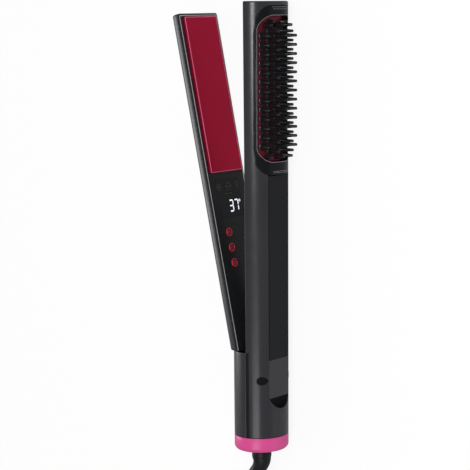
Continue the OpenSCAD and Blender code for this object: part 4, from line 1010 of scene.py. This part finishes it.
# ---- buttons
# Three red push buttons in a column: power at the bottom, then less and more. Each has a raised
# rim round a dished face with its sign.
BUTTON_Y, BUTTON_Z, BUTTON_STEP = -6.7, 151.0, 10.4
SIGN_HALF, SIGN = 0.16, (-0.42, -0.34)
button_red = moulded("button_red", (186, 20, 54), 0.28, smudge=0.08, bump=0.06, Coat_Weight=0.4,
                     Coat_Roughness=0.15)
button_dark = moulded("button_dish", (104, 18, 38), 0.4, shade=0.08, smudge=0.08, bump=0.06)
button_sign = moulded("button_sign", (196, 60, 84), 0.4, shade=0.03, smudge=0.12)
button_profile = [[-3.9, 0], [-3.9, 1.0], [-2.9, 1.0], [-2.9, 3.5], [-2.2, 3.5], [-2.15, 3.0],
                  [-0.45, 3.0], [-0.25, 2.95], [-0.08, 2.82], [0.0, 2.62], [-0.02, 2.42],
                  [-0.12, 2.25], [-0.3, 2.1], [-0.44, 2.0], [-0.44, 0]]
dish_profile = [[-0.5, 0], [-0.5, 2.05], [-0.34, 2.05], [-0.36, 1.9], [-0.4, 1.2], [-0.42, 0.6],
                [-0.42, 0]]
less = strip((-1, 0), (1, 0), SIGN_HALF, *SIGN)
signs = {"top": [less, strip((0, -1), (0, 1), SIGN_HALF, *SIGN)], "middle": [less],
         "bottom": [ring_strip(0, 0, 0.85, 0.15, *SIGN),
                    strip((0, 0.2), (0, 1.35), SIGN_HALF, SIGN[0], SIGN[1] + 0.01)]}
cap_grid, dish_grid = (turned(profile, 48)[..., [2, 0, 1]]
                       for profile in (button_profile, dish_profile))
for k, name in enumerate(signs):
    at = np.array([0, BUTTON_Y, BUTTON_Z - k * BUTTON_STEP])
    made = piece("button_cap_" + name, "button_" + name, button_red, [swing(cap_grid + at)])
    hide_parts("button_" + name)
    piece("button_dish_" + name, "button_" + name, button_dark, [swing(dish_grid + at)])
    piece("button_sign_" + name, "button_" + name, button_sign,
          [swing(g + at) for g in signs[name]])

# ---- covers, frame and works
# Flat covers, the black frame between the shells and everything inside keep their CAD shapes.
# Each gets the finish of its real material.
steel = moulded("plain_steel", (190, 190, 192), 0.3, smudge=0.15, grain=700.0, bump=0.08,
                Metallic=1.0)
cast = moulded("cast_aluminium", (176, 177, 180), 0.48, shade=0.08, smudge=0.2, grain=1800.0,
               bump=0.3, Metallic=1.0)
board = moulded("circuit_board", (28, 92, 52), 0.4, shade=0.15, smudge=0.2, grain=2200.0, bump=0.2)
ivory = moulded("heatproof_ivory", (214, 206, 186), 0.5, smudge=0.12, grain=1300.0, bump=0.1)
film = moulded("heater_film", (206, 188, 150), 0.35, shade=0.15, smudge=0.2, grain=500.0, bump=0.3)
silicone = moulded("silicone", (222, 222, 218), 0.45, shade=0.04, smudge=0.12, bump=0.1)
clear = moulded("clear_tank", (214, 224, 232), 0.12, shade=0.03, smudge=0.05, grain=300.0,
                Transmission_Weight=0.85, IOR=1.49)
cover_black = moulded("clamp_cover_black", (33, 34, 36), 0.26, shade=0.08, grain=500.0,
                      Specular_IOR_Level=0.25)
finishes = (
    (satin_black, "chassis main_cover pump swivel_socket tact_switches tank_valve"),
    (cast, "brush_heater steam_chamber"), (cover_black, "clamp_cover"), (clear, "tank_body"),
    (silicone, "water_socket water_tube feed_tube clamp_pads main_pads tank_plug"),
    (board, "power_board control_board"), (ivory, "display_module plate_cradle"),
    (steel, "hinge_pin torsion_spring ring_screws clamp_bracket bracket_screws"),
    (film, "clamp_heater main_heater"))
for finish, names in finishes:
    for name in names.split():
        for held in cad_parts[name].material_slots:
            held.material = finish

# ---- light
# Two softboxes overhead, one along the arms and one over the handle, a tall one at the left and
# a pale room, as for a shop photograph.


def softbox(name, at, towards, size, power):
    """Area light at a place, facing another."""
    lamp = bpy.data.lights.new(name, "AREA")
    lamp.shape, lamp.size, lamp.size_y, lamp.energy = "RECTANGLE", size[0], size[1], power
    made = bpy.data.objects.new(name, lamp)
    bpy.context.collection.objects.link(made)
    away = Vector(at) - Vector(towards)
    made.matrix_world = Matrix.Translation(at) @ away.to_track_quat("Z", "Y").to_matrix().to_4x4()


softbox("tip_strip", (0.46, 0.32, 1.0), (0.46, 0.32, 0), (0.26, 0.62), 5.6)
softbox("handle_strip", (0.47, -0.58, 1.0), (0.47, -0.58, 0), (0.6, 0.5), 2.8)
softbox("left_wall", (-1.5, -0.1, 0.32), (0, 0, 0.05), (0.6, 1.4), 8)
world = bpy.data.worlds.new("room")
world.use_nodes = True
bpy.context.scene.world = world
t = world.node_tree
t.nodes.clear()
ray = node(t, "LightPath")
room, backdrop, mirrored = (white(t, "Background", strength) for strength in (0.6, 1.0, 0.12))
node(t, "OutputWorld", {"Surface": by_ray(t, ray, ray.outputs["Is Camera Ray"], room, backdrop,
                                          mirrored)})
bpy.context.scene.view_settings.view_transform = "Standard"
